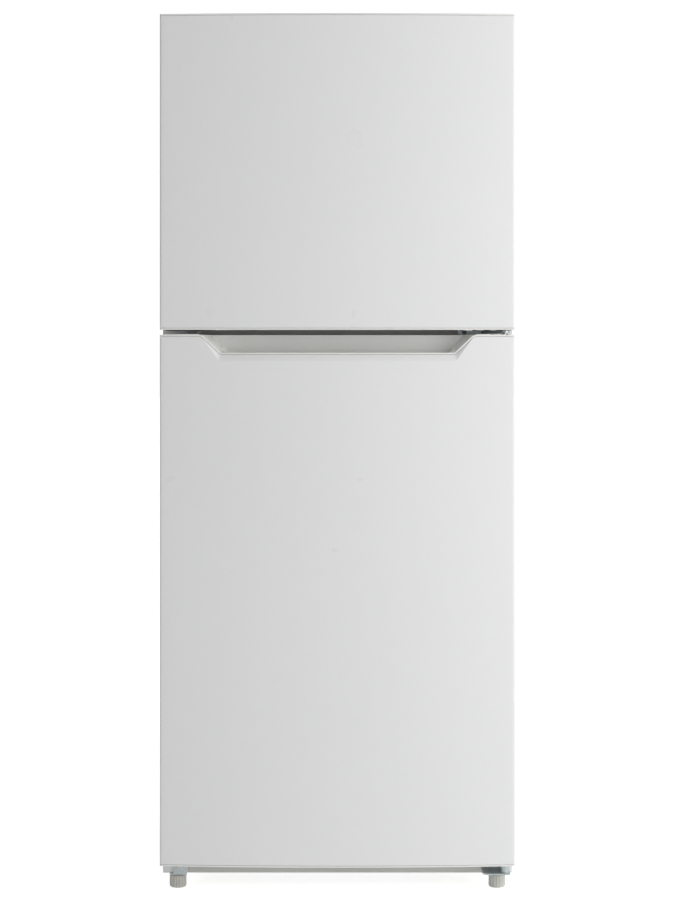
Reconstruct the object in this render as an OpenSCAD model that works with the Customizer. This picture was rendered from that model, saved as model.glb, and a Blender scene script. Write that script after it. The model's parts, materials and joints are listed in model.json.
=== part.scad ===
// Top freezer refrigerator: a freezer door over a taller fridge door on an insulated cabinet.
// Millimetres, +Z up, doors facing -Y. The origin is on the floor under the middle of the object.

/* [Overall size] */
// width across the doors
total_w = 600; // [580:5:630]
// depth from the rear panel to the middle of the door fronts
total_d = 660; // [640:5:700]
// height of the cabinet's top sheet above the floor
cabinet_h = 1478; // [1462:4:1538]

/* [Doors] */
// door thickness at the side edges
door_t = 50; // [48:1:54]
// how far the middle of a door front stands out past its side edges
door_bow = 12; // [8:1:16]
// height of the top of the lower door
seam_z = 946; // [938:2:962]
// open gap between the two doors
seam_gap = 8.5; // [8.5:0.5:10]
// width of the finger pocket at its mouth
pocket_w = 458; // [400:2:460]
// height of the pocket's mouth
pocket_h = 30; // [28:1:32]

/* [Cabinet] */
// insulated wall thickness at the sides
wall_t = 45; // [42:1:50]
// insulated wall thickness behind the compartments
rear_wall_t = 54; // [50:1:64]
// height of the compressor niche's ceiling
niche_top = 236; // [226:2:246]
// depth of the compressor niche
niche_d = 181; // [176:1:186]

/* [Shelves and drawers] */
// height of the lower glass shelf
lower_shelf_z = 475; // [440:5:500]
// height of the upper glass shelf
upper_shelf_z = 675; // [650:5:700]
// height of the freezer shelf
freezer_shelf_z = 1200; // [1185:5:1225]

/* [Hidden] */
$fn = 32;
air = 0.3;
steel = 0.8;
liner_t = 1.2;
hw = total_w / 2;
front_y = -total_d / 2;
back_y = total_d / 2;
edge_y = front_y + door_bow;
door_back_y = edge_y + door_t;
cab_y = door_back_y + 12;
cab_x = hw - 1;
base_z = 24.8;
shell_back_y = back_y - steel - 0.2;
liner_x = cab_x - wall_t;
liner_back_y = back_y - rear_wall_t;
flange_x = liner_x + liner_t + 0.4;
fridge_z = [95, seam_z - 24];
freezer_z = [seam_z + 31, cabinet_h - 50];
lower_door = [49.5, seam_z];
upper_door = [seam_z + seam_gap, cabinet_h + 9.5];
niche_y = back_y - niche_d;
step = [niche_y - 39, niche_top + 36];
cover_top = cabinet_h + 14;
foam_x = [liner_x + liner_t + air, cab_x - steel - air];
foam_y = [cab_y + steel + air, shell_back_y - steel - air];
foam_top = cabinet_h - steel - air;
floor_foam_z = base_z + 35;

bow_r = (hw * hw + door_bow * door_bow) / (2 * door_bow);
edge_cut = 3;
cap_t = 3;
skirt_h = 14;
pivot = [hw - 16, edge_y + 25];
pin_r = 4;
bore_r = pin_r + 0.06;
pad_y = door_back_y + air;
dike_x = liner_x - 16;
dike_w = 24;
dike_y = cab_y + 50;
gasket_x = hw - 18;
gasket_w = 12;
bin_x = dike_x - dike_w - 1.5;
bin_y = [pad_y + liner_t + 1, cab_y + 105];
lower_ring = [fridge_z[0] + 12, fridge_z[1] - 12];
upper_ring = [freezer_z[0] + 12, freezer_z[1] - 12];
lower_bins = [[lower_ring[0] + 27, 112], [lower_ring[0] + 300, 82], [lower_ring[0] + 530, 82]];
upper_bins = [[upper_ring[0] + 27, 82], [upper_ring[0] + 218, 82]];

pocket_z = seam_z - pocket_h;
pocket_slope = 1.05;
mouth_half = [pocket_w / 2, pocket_w / 2 - pocket_h * pocket_slope];
pocket_wall = 2.5;
pocket_back_y = edge_y + 29;
trench_z = pocket_z - 18;
lip_y = front_y + 13;
flare = [3, 11.5];

drawer_x = [3, liner_x - 8];
drawer_y = [cab_y + 128, step[0] - 6];
drawer_z = [fridge_z[0] + 1, step[1] - 12];
shelf_y = [cab_y + 131, liner_back_y - 60];
cover_z = step[1] + 6;
panel_y = [liner_back_y - 86, liner_back_y - 82];
coil_y = liner_back_y - 47;
coil_z = [freezer_z[0] + 35, freezer_z[0] + 255];
fan_z = freezer_z[1] - 105;
fan_y = panel_y[1] + 11;
foot_x = hw - 26.5;
foot_y = cab_y + 6;
foot_h = 21.5;
plate_z = [21.8, 24.4];
shelf_plate_z = [31, 34];
comp = [-60, niche_y + 88, 49];
tray_z = [34, 36];
housing_y = [dike_y + 10, dike_y + 170];
housing_z = [fridge_z[1] - 38, fridge_z[1] - 0.5];
knob_at = [-60, housing_y[0] + 75];
plunger_at = [90, housing_z[0] + 14];
slider_at = [130, fan_z + 62];
roller_at = [234, back_y - 42, 15.5];
drier_at = [150, niche_y + 125];

white = [0.93, 0.93, 0.93];
clear = [0.85, 0.92, 0.95, 0.4];
grey = [0.62, 0.64, 0.65];
zinc = [0.78, 0.81, 0.82];
dark = [0.1, 0.1, 0.11];
copper = [0.72, 0.43, 0.28];
foam_tint = [0.93, 0.87, 0.68];

// ---- building blocks ----

// Box between two opposite corners.
module span(lo, hi) {
    translate(lo) cube(hi - lo);
}

// Round bar along one axis, from one coordinate on that axis to another.
module rod_x(y, z, x0, x1, r) {
    translate([x0, y, z]) rotate([0, 90, 0]) cylinder(r = r, h = x1 - x0);
}

module rod_y(x, z, y0, y1, r) {
    translate([x, y0, z]) rotate([-90, 0, 0]) cylinder(r = r, h = y1 - y0);
}

module rod_z(x, y, z0, z1, r) {
    translate([x, y, z0]) cylinder(r = r, h = z1 - z0);
}

// The same shape on the right and, mirrored, on the left.
module both_sides() {
    children();
    mirror([1, 0, 0]) children();
}

// Upright rectangular frame seen from the front, with bars of one width.
module ring(half_w, z, bar, y) {
    difference() {
        span([-half_w, y[0], z[0]], [half_w, y[1], z[1]]);
        span([bar - half_w, y[0] - 1, z[0] + bar], [half_w - bar, y[1] + 1, z[1] - bar]);
    }
}

// Open-topped box: outer corners, wall and floor thickness.
module tray(lo, hi, wall, floor_t) {
    difference() {
        span(lo, hi);
        span(lo + [wall, wall, floor_t], [hi[0] - wall, hi[1] - wall, hi[2] + 1]);
    }
}

// Quarter or half bend of round tube lying in the XY plane, centred on the origin.
module bend(bend_r, tube_r, angle) {
    rotate_extrude(angle = angle, $fn = 28) translate([bend_r, 0]) circle(r = tube_r, $fn = 14);
}

// Serpentine of straight runs along X joined by half bends, stacked upwards from the origin.
module serpentine(runs, pitch, half_len, tube_r) {
    for (i = [0 : runs - 1])
        rod_x(0, i * pitch, -half_len, half_len, tube_r, $fn = 14);
    for (i = [0 : runs - 2])
        translate([i % 2 == 0 ? half_len : -half_len, 0, (i + 0.5) * pitch])
            rotate([90, 0, 0]) rotate([0, 0, i % 2 == 0 ? -90 : 90])
                bend(pitch / 2, tube_r, 180);
}

// ---- door building blocks ----

// Plan of a door, bowed at the front with cut front corners, set in by a margin.
module door_outline(inset, rear) {
    w = hw - inset;
    edge = edge_y + inset;
    intersection() {
        translate([0, front_y + bow_r]) circle(r = bow_r - inset, $fn = 256);
        polygon([
            [-w, rear], [w, rear], [w, edge + edge_cut], [w - edge_cut, edge - 0.1],
            [w - edge_cut, front_y - 1], [edge_cut - w, front_y - 1],
            [edge_cut - w, edge - 0.1], [-w, edge + edge_cut]
        ]);
    }
}

module door_slab(inset, rear, z) {
    translate([0, 0, z[0]]) linear_extrude(z[1] - z[0]) door_outline(inset, rear);
}

// Sheet metal front and sides with a narrow fold along each back edge.
module door_skin(door) {
    z = [door[0] + cap_t, door[1] - cap_t];
    difference() {
        door_slab(0, door_back_y, z);
        door_slab(steel, door_back_y + 1, [z[0] - 1, z[1] + 1]);
    }
    both_sides() span([hw - 12, door_back_y - steel, z[0]], [hw - 0.1, door_back_y, z[1]]);
}

// Flat plastic end of a door with a skirt that plugs into the skin; dir is +1 for a bottom end.
module door_cap(z_outer, dir) {
    z_inner = z_outer + dir * cap_t;
    z_skirt = z_inner + dir * skirt_h;
    door_slab(0, door_back_y, [min(z_outer, z_inner), max(z_outer, z_inner)]);
    difference() {
        door_slab(steel + air, door_back_y - steel - air,
            [min(z_inner, z_skirt) - (dir < 0 ? 0 : 0.1), max(z_inner, z_skirt) + (dir < 0 ? 0.1 : 0)]);
        door_slab(steel + air + 2, door_back_y - steel - air - 2,
            [min(z_inner, z_skirt) - 1, max(z_inner, z_skirt) + 1]);
    }
}

// Solid block inside a cap that carries the hinge bush.
module bush_block(z) {
    intersection() {
        door_slab(steel + air, door_back_y - steel - air, z);
        span([pivot[0] - 30, front_y, z[0]], [hw, door_back_y, z[1]]);
    }
}

module hinge_bore(z) {
    rod_z(pivot[0], pivot[1], z[0], z[1], bore_r);
}

// Blanking plug for the unused hinge hole on the other side of a cap.
module spare_hole_plug(z) {
    rod_z(-pivot[0], pivot[1], z[0], z[1], 6.5);
}

// Formed plastic inner door with a raised frame, and small lugs that carry the bins.
module door_liner(sheet_z, frame_z, bins) {
    difference() {
        union() {
            span([8 - hw, pad_y, sheet_z[0]], [hw - 8, pad_y + liner_t, sheet_z[1]]);
            ring(dike_x, frame_z, dike_w, [pad_y, dike_y]);
            for (b = bins)
                both_sides() span(
                    [bin_x - 6, bin_y[0] + 8, b[0] - 10],
                    [dike_x - dike_w + 0.5, bin_y[0] + 34, b[0] - air]);
        }
        ring(dike_x - liner_t, [frame_z[0] + liner_t, frame_z[1] - liner_t],
            dike_w - 2 * liner_t, [pad_y - 1, dike_y - liner_t]);
    }
}

// Foam that fills the raised frame of a door liner, as four bars.
module dike_foam(frame_z) {
    m = liner_t + air;
    y = [door_back_y - steel - 0.2, dike_y - m];
    both_sides() span(
        [dike_x - dike_w + m, y[0], frame_z[0] + m],
        [dike_x - m, y[1], frame_z[1] - m]);
    for (z = [frame_z[0] + m, frame_z[1] - dike_w + m])
        span([dike_w - dike_x, y[0], z], [dike_x - dike_w, y[1], z + dike_w - 2 * m]);
}

// Magnetic door seal: wide foot, narrow bellows, wide head that meets the cabinet.
module gasket(z) {
    foot = pad_y + liner_t + air;
    head = cab_y - 0.4;
    neck = gasket_w / 3;
    ring(gasket_x - 2, [z[0] + 2, z[1] - 2], gasket_w - 4, [foot, foot + 3]);
    ring(gasket_x - neck, [z[0] + neck, z[1] - neck], neck, [foot + 2.9, head - 3.4]);
    ring(gasket_x, z, gasket_w, [head - 3.5, head]);
}

// Door bin: open tray with a low guard rail lip along its inner side.
module door_bin(b) {
    lo = [-bin_x, bin_y[0], b[0]];
    hi = [bin_x, bin_y[1], b[0] + b[1]];
    difference() {
        tray(lo, hi, 2.5, 3);
        span([20 - bin_x, lo[1] - 1, lo[2] + b[1] * 0.55], [bin_x - 20, lo[1] + 4, hi[2] + 1]);
    }
    span([-bin_x, hi[1] - 4.5, hi[2] - 8], [bin_x, hi[1], hi[2]]);
}

// ---- cabinet ----

// Clearance above each foot for its stud.
module foot_holes() {
    both_sides() rod_z(foot_x, foot_y, base_z - 1, foot_h + 28, pin_r + 1);
}

module outer_shell() {
    fold = 12;
    color(white) difference() {
        span([-cab_x, cab_y, base_z], [cab_x, shell_back_y, cabinet_h]);
        span([steel - cab_x, cab_y + steel, base_z + steel],
            [cab_x - steel, shell_back_y - steel, cabinet_h - steel]);
        span([-flange_x, cab_y - 1, base_z - 1], [flange_x, cab_y + 2, freezer_z[1] + 1.6]);
        span([-flange_x, cab_y - 1, base_z - 1], [flange_x, back_y, base_z + 2]);
        span([fold - cab_x, shell_back_y - 2, base_z - 1],
            [cab_x - fold, shell_back_y + 1, cabinet_h - fold]);
        foot_holes();
    }
}

module rear_panel() {
    color(grey) span([1 - cab_x, back_y - steel, niche_top + 2], [cab_x - 1, back_y, cabinet_h - 1]);
}

tube_r = 2.2;
tube_x = cab_x - steel - tube_r - 0.2;
tube_pitch = 80;
tube_runs = 6;
tube_z = [150, cabinet_h - 88];

// Straight upright runs and their bends for the hot wall, and the channels that hold them.
module side_slab() {
    half = tube_pitch * (tube_runs - 1) / 2;
    difference() {
        span([foam_x[0], foam_y[0], base_z + 1], [foam_x[1], foam_y[1], foam_top]);
        for (i = [0 : tube_runs - 1])
            span([tube_x - 3, i * tube_pitch - half - 4, tube_z[0] - 1],
                [hw, i * tube_pitch - half + 4, tube_z[1] + 1]);
        for (z = [tube_z[0] - 46, tube_z[1]])
            span([tube_x - 3, -half - 4, z], [hw, half + 4, z + 46]);
        foot_holes();
    }
}

module insulation() {
    x = foam_x[0] - 0.4;
    gap = 0.4;
    floor_z = [floor_foam_z, fridge_z[0] - liner_t - air];
    roof_z = step[1] - liner_t - air;
    color(foam_tint) {
        both_sides() side_slab();
        span([-x, foam_y[0], freezer_z[1] + liner_t + air], [x, foam_y[1], foam_top]);
        span([-x, liner_back_y + liner_t + air, roof_z + gap], [x, foam_y[1], freezer_z[1] + 1]);
        span([-x, cab_y + 13, fridge_z[1] + liner_t + air],
            [x, liner_back_y + 1, freezer_z[0] - liner_t - air]);
        span([-x, cab_y + 16, floor_z[0]], [x, step[0] + 1, floor_z[1]]);
        span([-x, step[0] + liner_t + air, floor_z[0]], [x, niche_y - 1.2, roof_z]);
        span([-x, niche_y - 0.8, niche_top + 1.2], [x, foam_y[1], roof_z]);
    }
}

// Open-fronted formed compartment lining.
module compartment(z) {
    difference() {
        span([-liner_x - liner_t, cab_y + 0.6, z[0] - liner_t],
            [liner_x + liner_t, liner_back_y + liner_t, z[1] + liner_t]);
        span([-liner_x, cab_y - 1, z[0]], [liner_x, liner_back_y, z[1]]);
    }
}

// Ledge along both side walls that a shelf rests on.
module shelf_ledge(z, y) {
    both_sides() span([liner_x - 8, y[0] + 14, z - 9], [liner_x + 0.5, y[1], z - 2.3]);
}

module freezer_liner() {
    color(white) {
        compartment(freezer_z);
        shelf_ledge(freezer_shelf_z, [shelf_y[0], panel_y[0] - 4]);
    }
}

module fridge_liner() {
    t = liner_t;
    color(white) {
        difference() {
            compartment(fridge_z);
            span([-hw, step[0], fridge_z[0] - 5], [hw, back_y, step[1] - t]);
        }
        span([-liner_x - t, step[0], fridge_z[0] - t], [liner_x + t, step[0] + t, step[1]]);
        span([-liner_x - t, step[0], step[1] - t], [liner_x + t, liner_back_y + t, step[1]]);
        for (z = [lower_shelf_z, upper_shelf_z])
            shelf_ledge(z, shelf_y);
        shelf_ledge(cover_z, [shelf_y[0], step[0]]);
    }
}

// Steel channel that closes the front of the wall between the compartments.
module mullion_rail() {
    z = [fridge_z[1] + 1.6, freezer_z[0] - 1.6];
    x = flange_x - air;
    color(grey) difference() {
        span([-x, cab_y, z[0]], [x, cab_y + 12, z[1]]);
        span([-hw, cab_y + 1, z[0] + 1], [hw, cab_y + 13, z[1] - 1]);
    }
}

// Steel channel across the front of the base, seen below the lower door.
module base_rail() {
    x = flange_x - air;
    z = [base_z, fridge_z[0] - 1.6];
    color(grey) difference() {
        span([-x, cab_y + 1, z[0]], [x, cab_y + 15, z[1]]);
        span([-hw, cab_y + 2, z[0] + 1], [hw, cab_y + 16, z[1] - 1]);
    }
}

// Floor plate of the compressor niche, with the roller brackets and the gland tab fixed to it.
module base_tray() {
    join = 0.2;
    color(zinc) {
        difference() {
            span([1 - liner_x, niche_y + 1, tray_z[0]], [liner_x - 1, back_y - 4, tray_z[1]]);
            for (x = [-76, 76], y = [-48, 48])
                rod_z(comp[0] + x, comp[1] + y, tray_z[0] - 1, tray_z[1] + 1, 3.5);
        }
        both_sides() {
            for (x = [roller_at[0] - 16, roller_at[0] + 14])
                span([x, roller_at[1] - 13, roller_at[2] - 8], [x + 2, roller_at[1] + 13, tray_z[0] - join]);
            rod_x(roller_at[1], roller_at[2], roller_at[0] - 17, roller_at[0] + 17, pin_r);
        }
        difference() {
            span([-218, back_y - 4 + join, tray_z[0]], [-172, back_y - 2, tray_z[1] + 40]);
            rod_y(-195, tray_z[1] + 20, back_y - 5, back_y, 8);
        }
    }
}

// Sheet under the cabinet that turns up to line the front wall and ceiling of the compressor niche.
module niche_panel() {
    x = foam_x[0] - 0.6;
    color(grey) {
        span([-x, cab_y + 16, floor_foam_z - 1.2], [x, niche_y, floor_foam_z - 0.4]);
        span([-x, niche_y - 0.8, floor_foam_z - 1.2], [x, niche_y, niche_top + 0.8]);
        span([-x, niche_y - 0.8, niche_top], [x, back_y - 2, niche_top + 0.8]);
    }
}

// Flat steel arm seen from above: wide where it is fixed, rounded around the pivot.
module arm_plan(left, rear) {
    polygon([
        [pivot[0] - 8, pivot[1]], [pivot[0] + 8, pivot[1]], [pivot[0] + 8, rear], [left, rear]
    ]);
    translate(pivot) circle(r = 8);
}

top_screws = [[hw - 50, cab_y + 20], [hw - 15, cab_y + 20], [hw - 33, cab_y + 52]];

module top_hinge() {
    z = cabinet_h + air;
    color(zinc) {
        translate([0, 0, z]) linear_extrude(3) {
            arm_plan(hw - 60, cab_y + 8);
            translate([hw - 60, cab_y + 8]) square([pivot[0] + 8 - (hw - 60), 56]);
        }
        rod_z(pivot[0], pivot[1], z - 20, z + 0.1, pin_r);
    }
}

module top_hinge_cover() {
    lo = [hw - 68, cab_y - 1, cabinet_h + air];
    hi = [hw - 2, cab_y + 74, cover_top];
    color(white) difference() {
        span(lo, hi);
        span(lo + [1.6, 1.6, -1], hi - [1.6, 1.6, 1.8]);
        span([hw - 57, lo[1] - 1, lo[2] - 1], [pivot[0] + 9, lo[1] + 3, lo[2] + 4.5]);
    }
}

module middle_hinge() {
    z = [seam_z + 3.6, seam_z + seam_gap - 0.5];
    color(zinc) {
        span([206, cab_y - 3, seam_z - 6], [hw - 54, cab_y - air, seam_z + 15]);
        span([206, cab_y - 3, z[0]], [pivot[0] + 8, cab_y - air, z[1]]);
        translate([0, 0, z[0]]) linear_extrude(z[1] - z[0]) arm_plan(hw - 55, cab_y - 2);
        rod_z(pivot[0], pivot[1], seam_z - 14, seam_z + seam_gap + 14, pin_r);
    }
}

// Plate under a cabinet corner that carries a levelling foot, with a screwed upright flange.
module corner_plate() {
    difference() {
        union() {
            span([foot_x - 14, cab_y - 3.5, plate_z[0]], [foot_x + 14, cab_y + 20, plate_z[1]]);
            span([foot_x - 15.5, cab_y - 3.5, plate_z[0]], [foot_x + 7.5, cab_y - 0.5, lower_door[0] - 2]);
        }
        rod_z(foot_x, foot_y, plate_z[0] - 1, plate_z[1] + 1, bore_r);
    }
}

// Corner plate with a second plate in front that carries the lower door's pin.
module bottom_hinge() {
    z = shelf_plate_z;
    y = [pivot[1] - 11, cab_y - 1];
    color(zinc) {
        corner_plate();
        translate([0, 0, z[0]]) linear_extrude(z[1] - z[0]) polygon([
            [pivot[0] - 30, y[0]], [pivot[0] + 6, y[0]], [pivot[0] + 9, y[0] + 3],
            [pivot[0] + 9, y[1]], [pivot[0] - 38, y[1]], [pivot[0] - 38, y[0] + 8]
        ]);
        rod_z(pivot[0], pivot[1], z[1] - 0.1, lower_door[0] - air, 7);
        rod_z(pivot[0], pivot[1], lower_door[0] - 1, lower_door[0] + 15, pin_r);
    }
}

module left_foot_bracket() {
    color(grey) mirror([1, 0, 0]) corner_plate();
}

// Screw head on an upright face that looks forwards.
module front_head(x, z, y) {
    rod_y(x, z, y - 2.6, y, 4);
}

module hinge_screws() {
    color(dark) {
        front_head(217, seam_z + 5, cab_y - 3.2);
        both_sides() for (x = [263, 276])
            front_head(x, 40, cab_y - 3.7);
        for (p = top_screws)
            rod_z(p[0], p[1], cabinet_h + 3.5, cabinet_h + 7.5, 5, $fn = 6);
    }
}

module hole_plugs() {
    color(white) {
        for (x = [-264, -237])
            rod_y(x, seam_z + 4, cab_y - 1.5, cab_y - 0.2, 4.5);
        for (p = top_screws)
            rod_z(-p[0], p[1], cabinet_h + 0.2, cabinet_h + 1.5, 5);
    }
}

module compressor() {
    color(dark) translate([comp[0], comp[1], comp[2]]) {
        translate([0, 0, 3]) rotate_extrude($fn = 48)
            polygon([[0, 0], [52, 0], [68, 12], [72, 28], [72, 82], [67, 102], [48, 116], [0, 121]]);
        difference() {
            span([-88, -60, 0], [88, 60, 3.1]);
            for (x = [-76, 76], y = [-48, 48])
                rod_z(x, y, -1, 5, 6);
        }
    }
}

module compressor_grommets() {
    color(dark) for (x = [-76, 76], y = [-48, 48])
        translate([comp[0] + x, comp[1] + y, tray_z[1] + 0.2]) rotate_extrude($fn = 24)
            polygon([[3, 0], [10, 0], [10, 12.5], [5.7, 12.5], [5.7, 16.2], [8, 16.2], [7, 19], [3, 19]]);
}

module relay_cover() {
    x = comp[0] + 72.5;
    color(dark) difference() {
        span([x, comp[1] - 26, 85], [x + 30, comp[1] + 26, 140]);
        for (z = [95 : 8 : 130])
            span([x + 28.5, comp[1] - 16, z], [x + 31, comp[1] + 16, z + 3]);
    }
}

// Tube that leaves the compressor sideways and turns up into the niche ceiling.
module riser(y, z, x0, x1) {
    turn = 16;
    rod_x(y, z, x0, x1 - turn, 3, $fn = 14);
    translate([x1 - turn, y, z + turn]) rotate([90, 0, 0]) rotate([0, 0, -90]) bend(turn, 3, 90);
    rod_z(x1, y, z + turn, niche_top - 0.5, 3, $fn = 14);
}

module refrigerant_pipes() {
    side_x = comp[0] + 62;
    color(copper) {
        riser(comp[1] + 40, 80, side_x, 70);
        riser(comp[1] - 40, 110, side_x, 200);
        rod_z(drier_at[0], drier_at[1], 205.5, niche_top - 0.5, 3, $fn = 14);
        rod_z(drier_at[0], drier_at[1], 62, 84.5, 3, $fn = 14);
        translate([drier_at[0] + 14, drier_at[1], 62]) rotate([90, 0, 0]) rotate([0, 0, 180])
            bend(14, 3, 180);
        rod_z(drier_at[0] + 28, drier_at[1], 62, niche_top - 0.5, 3, $fn = 14);
        rod_x(comp[1], 150, comp[0] - 96, comp[0] - 69.2, 3, $fn = 14);
    }
}

module filter_drier() {
    color(copper) translate([drier_at[0], drier_at[1], 85]) rotate_extrude()
        polygon([[0, 0], [4, 0], [10, 10], [10, 110], [4, 120], [0, 120]]);
}

module drip_tray() {
    top = comp[2] + 125;
    color(dark) tray([comp[0] - 85, niche_y + 14, top], [comp[0] + 85, back_y - 12, top + 28], 2, 2);
}

// Condenser tube behind each side sheet.
module condenser_tubes() {
    length = tube_z[1] - tube_z[0];
    half = tube_pitch * (tube_runs - 1) / 2;
    color(copper) both_sides()
        translate([tube_x, half, tube_z[0] + length / 2]) rotate([0, 0, 90]) rotate([0, -90, 0])
            serpentine(tube_runs, tube_pitch, length / 2, tube_r);
}

// Finned cooling coil behind the freezer's rear panel.
module evaporator() {
    runs = 5;
    pitch = (coil_z[1] - coil_z[0]) / (runs - 1);
    color(grey) {
        translate([0, coil_y, coil_z[0]]) serpentine(runs, pitch, 185, 4.5);
        difference() {
            for (x = [-165 : 30 : 165])
                span([x, coil_y - 22, coil_z[0] - 14], [x + 0.8, coil_y + 22, coil_z[1] + 14]);
            for (i = [0 : runs - 1])
                rod_x(coil_y, coil_z[0] + i * pitch, -190, 190, 4.6, $fn = 16);
        }
    }
}

module defrost_heater() {
    z = freezer_z[0] + 10;
    color(zinc) rod_x(coil_y, z, -185, 185, 4.5);
    color(dark) both_sides() rod_x(coil_y, z, 180, 205, 6.5);
}

// Freezer rear panel with the air outlet, the return slots and the slider's track.
module duct_panel() {
    color(white) difference() {
        span([1 - liner_x, panel_y[0], freezer_z[0] + 1], [liner_x - 1, panel_y[1], freezer_z[1] - 1]);
        for (i = [-5 : 5]) {
            half = sqrt(55 * 55 - i * i * 81);
            span([-half, panel_y[0] - 1, fan_z + i * 9 - 2.5], [half, panel_y[1] + 1, fan_z + i * 9 + 2.5]);
        }
        for (x = [-210 : 30 : 190])
            span([x, panel_y[0] - 1, freezer_z[0] + 8], [x + 20, panel_y[1] + 1, freezer_z[0] + 16]);
        span([slider_at[0] - 36, panel_y[0] - 1, slider_at[1] - 2.5],
            [slider_at[0] + 36, panel_y[1] + 1, slider_at[1] + 2.5]);
    }
}

module fan_motor() {
    color(dark) {
        rod_y(0, fan_z, fan_y + 22, fan_y + 46, 22);
        rod_y(0, fan_z, fan_y - 2, fan_y + 22.5, 2);
        span([-62, fan_y + 45, fan_z - 12], [62, fan_y + 48, fan_z + 12]);
        for (x = [-62, 59])
            span([x, panel_y[1] + 0.5, fan_z - 12], [x + 3, fan_y + 48, fan_z + 12]);
    }
}

module control_housing() {
    color(white) difference() {
        tray([-115, housing_y[0], housing_z[0]], [115, housing_y[1], housing_z[1]], 2, 2);
        span([19, housing_y[0] + 49, housing_z[0] - 1], [101, housing_y[0] + 131, housing_z[0] + 4]);
        rod_z(knob_at[0], knob_at[1], housing_z[0] - 1, housing_z[0] + 4, bore_r);
        rod_y(plunger_at[0], plunger_at[1], housing_y[0] - 1, housing_y[0] + 4, 3.06);
        for (y = [housing_y[0] + 90 : 10 : housing_y[0] + 140])
            span([-100, y, housing_z[0] - 1], [-20, y + 4, housing_z[0] + 4]);
    }
}

module lamp_lens() {
    z = housing_z[0];
    color(clear) tray([15, housing_y[0] + 45, z - 7], [105, housing_y[0] + 135, z - air], 1.5, 1.5);
}

module lamp_board() {
    z = housing_z[0] + 10;
    color(white) span([22, housing_y[0] + 55, z], [98, housing_y[0] + 125, z + 1.6]);
    color(clear) for (x = [35 : 25 : 85])
        span([x - 3, housing_y[0] + 85, z - 2], [x + 3, housing_y[0] + 95, z - 0.1]);
}

// Glass panels: two fridge shelves, the drawer cover and the freezer shelf.
module glass_shelves() {
    color(clear) {
        for (z = [lower_shelf_z, upper_shelf_z])
            span([2 - liner_x, shelf_y[0] + 4, z - 2], [liner_x - 2, shelf_y[1], z + 2]);
        span([2 - liner_x, shelf_y[0] + 4, cover_z - 2], [liner_x - 2, step[0] + 60, cover_z + 2]);
        span([2 - liner_x, shelf_y[0] + 4, freezer_shelf_z - 2], [liner_x - 2, panel_y[0] - 12, freezer_shelf_z + 2]);
    }
}

// Front edge strip of a glass panel, grooved to hold it.
module shelf_trims() {
    color(white) for (z = [lower_shelf_z, upper_shelf_z, cover_z, freezer_shelf_z]) difference() {
        span([2 - liner_x, shelf_y[0], z - 6], [liner_x - 2, shelf_y[0] + 13, z + 6]);
        span([-hw, shelf_y[0] + 3, z - 2.3], [hw, shelf_y[0] + 14, z + 2.3]);
    }
}

// Strain relief where a supply cord would enter.
module cord_gland() {
    color(dark) translate([-195, back_y - 2 - 7, tray_z[1] + 20]) rotate([-90, 0, 0]) rotate_extrude()
        polygon([[4, 0], [7.5, 0], [7.5, 7.3], [8.8, 7.3], [8.8, 8.9], [4, 8.9]]);
}

// ---- freezer door ----

recess = [pivot[0] - 29, pivot[1] - 19];
recess_z = upper_door[1] - 12.5;

// Clearance for the top hinge arm, open to the back and to the right.
module hinge_recess() {
    span([recess[0], recess[1], recess_z], [hw + 1, door_back_y + 1, upper_door[1] + 1]);
}

module freezer_door_skin() {
    color(white) difference() {
        door_skin(upper_door);
        hinge_recess();
    }
}

module freezer_door_top_cap() {
    color(white) difference() {
        union() {
            difference() {
                union() {
                    door_cap(upper_door[1], -1);
                    bush_block([recess_z - 18, upper_door[1] - cap_t + 0.1]);
                }
                hinge_recess();
            }
            rod_z(pivot[0], pivot[1], recess_z - 1, cabinet_h, 9);
        }
        hinge_bore([cabinet_h - 22, cabinet_h + 1]);
    }
}

grip_z = upper_door[0] + 22;

// Bottom end of the freezer door with an upward finger recess.
module freezer_door_bottom_cap() {
    z = upper_door[0];
    grip_x = pocket_w / 2 - 26;
    color(white) {
        difference() {
            union() {
                door_cap(z, 1);
                bush_block([z + cap_t - 0.1, z + 20]);
                intersection() {
                    door_slab(steel + air, door_back_y - 2, [z + cap_t - 0.1, grip_z + pocket_wall]);
                    span([-grip_x - pocket_wall, front_y, z], [grip_x + pocket_wall, pocket_back_y + pocket_wall, grip_z + 5]);
                }
            }
            span([-grip_x, edge_y + 1, z - 1], [grip_x, pocket_back_y, grip_z]);
            hinge_bore([z - 1, z + 16.5]);
        }
        spare_hole_plug([z - 1, z + 0.5]);
    }
}

module freezer_door_foam() {
    rear = door_back_y - steel - 0.6;
    z = [grip_z + pocket_wall + 1, recess_z - 19];
    color(foam_tint) {
        door_slab(steel + 0.5, rear, z);
        intersection() {
            door_slab(steel + 3, rear - 3, [z[1] + 0.4, upper_door[1] - cap_t - 0.4]);
            span([-hw, front_y, z[1]], [pivot[0] - 31, 0, upper_door[1]]);
        }
        dike_foam(upper_ring);
    }
}

module freezer_door_liner() {
    color(white) door_liner([upper_door[0] + 8, recess_z - 0.5], upper_ring, upper_bins);
}

module freezer_door_gasket() {
    color(white) gasket([seam_z + 19, cabinet_h - 4]);
}

// ---- fridge door ----

// Upright prism with the outline of the pocket's mouth: half-widths at its top and bottom.
module mouth_prism(half, z, y) {
    translate([0, y[1], 0]) rotate([90, 0, 0]) linear_extrude(y[1] - y[0])
        polygon([[-half[0], z[1]], [half[0], z[1]], [half[1], z[0]], [-half[1], z[0]]]);
}

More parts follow.
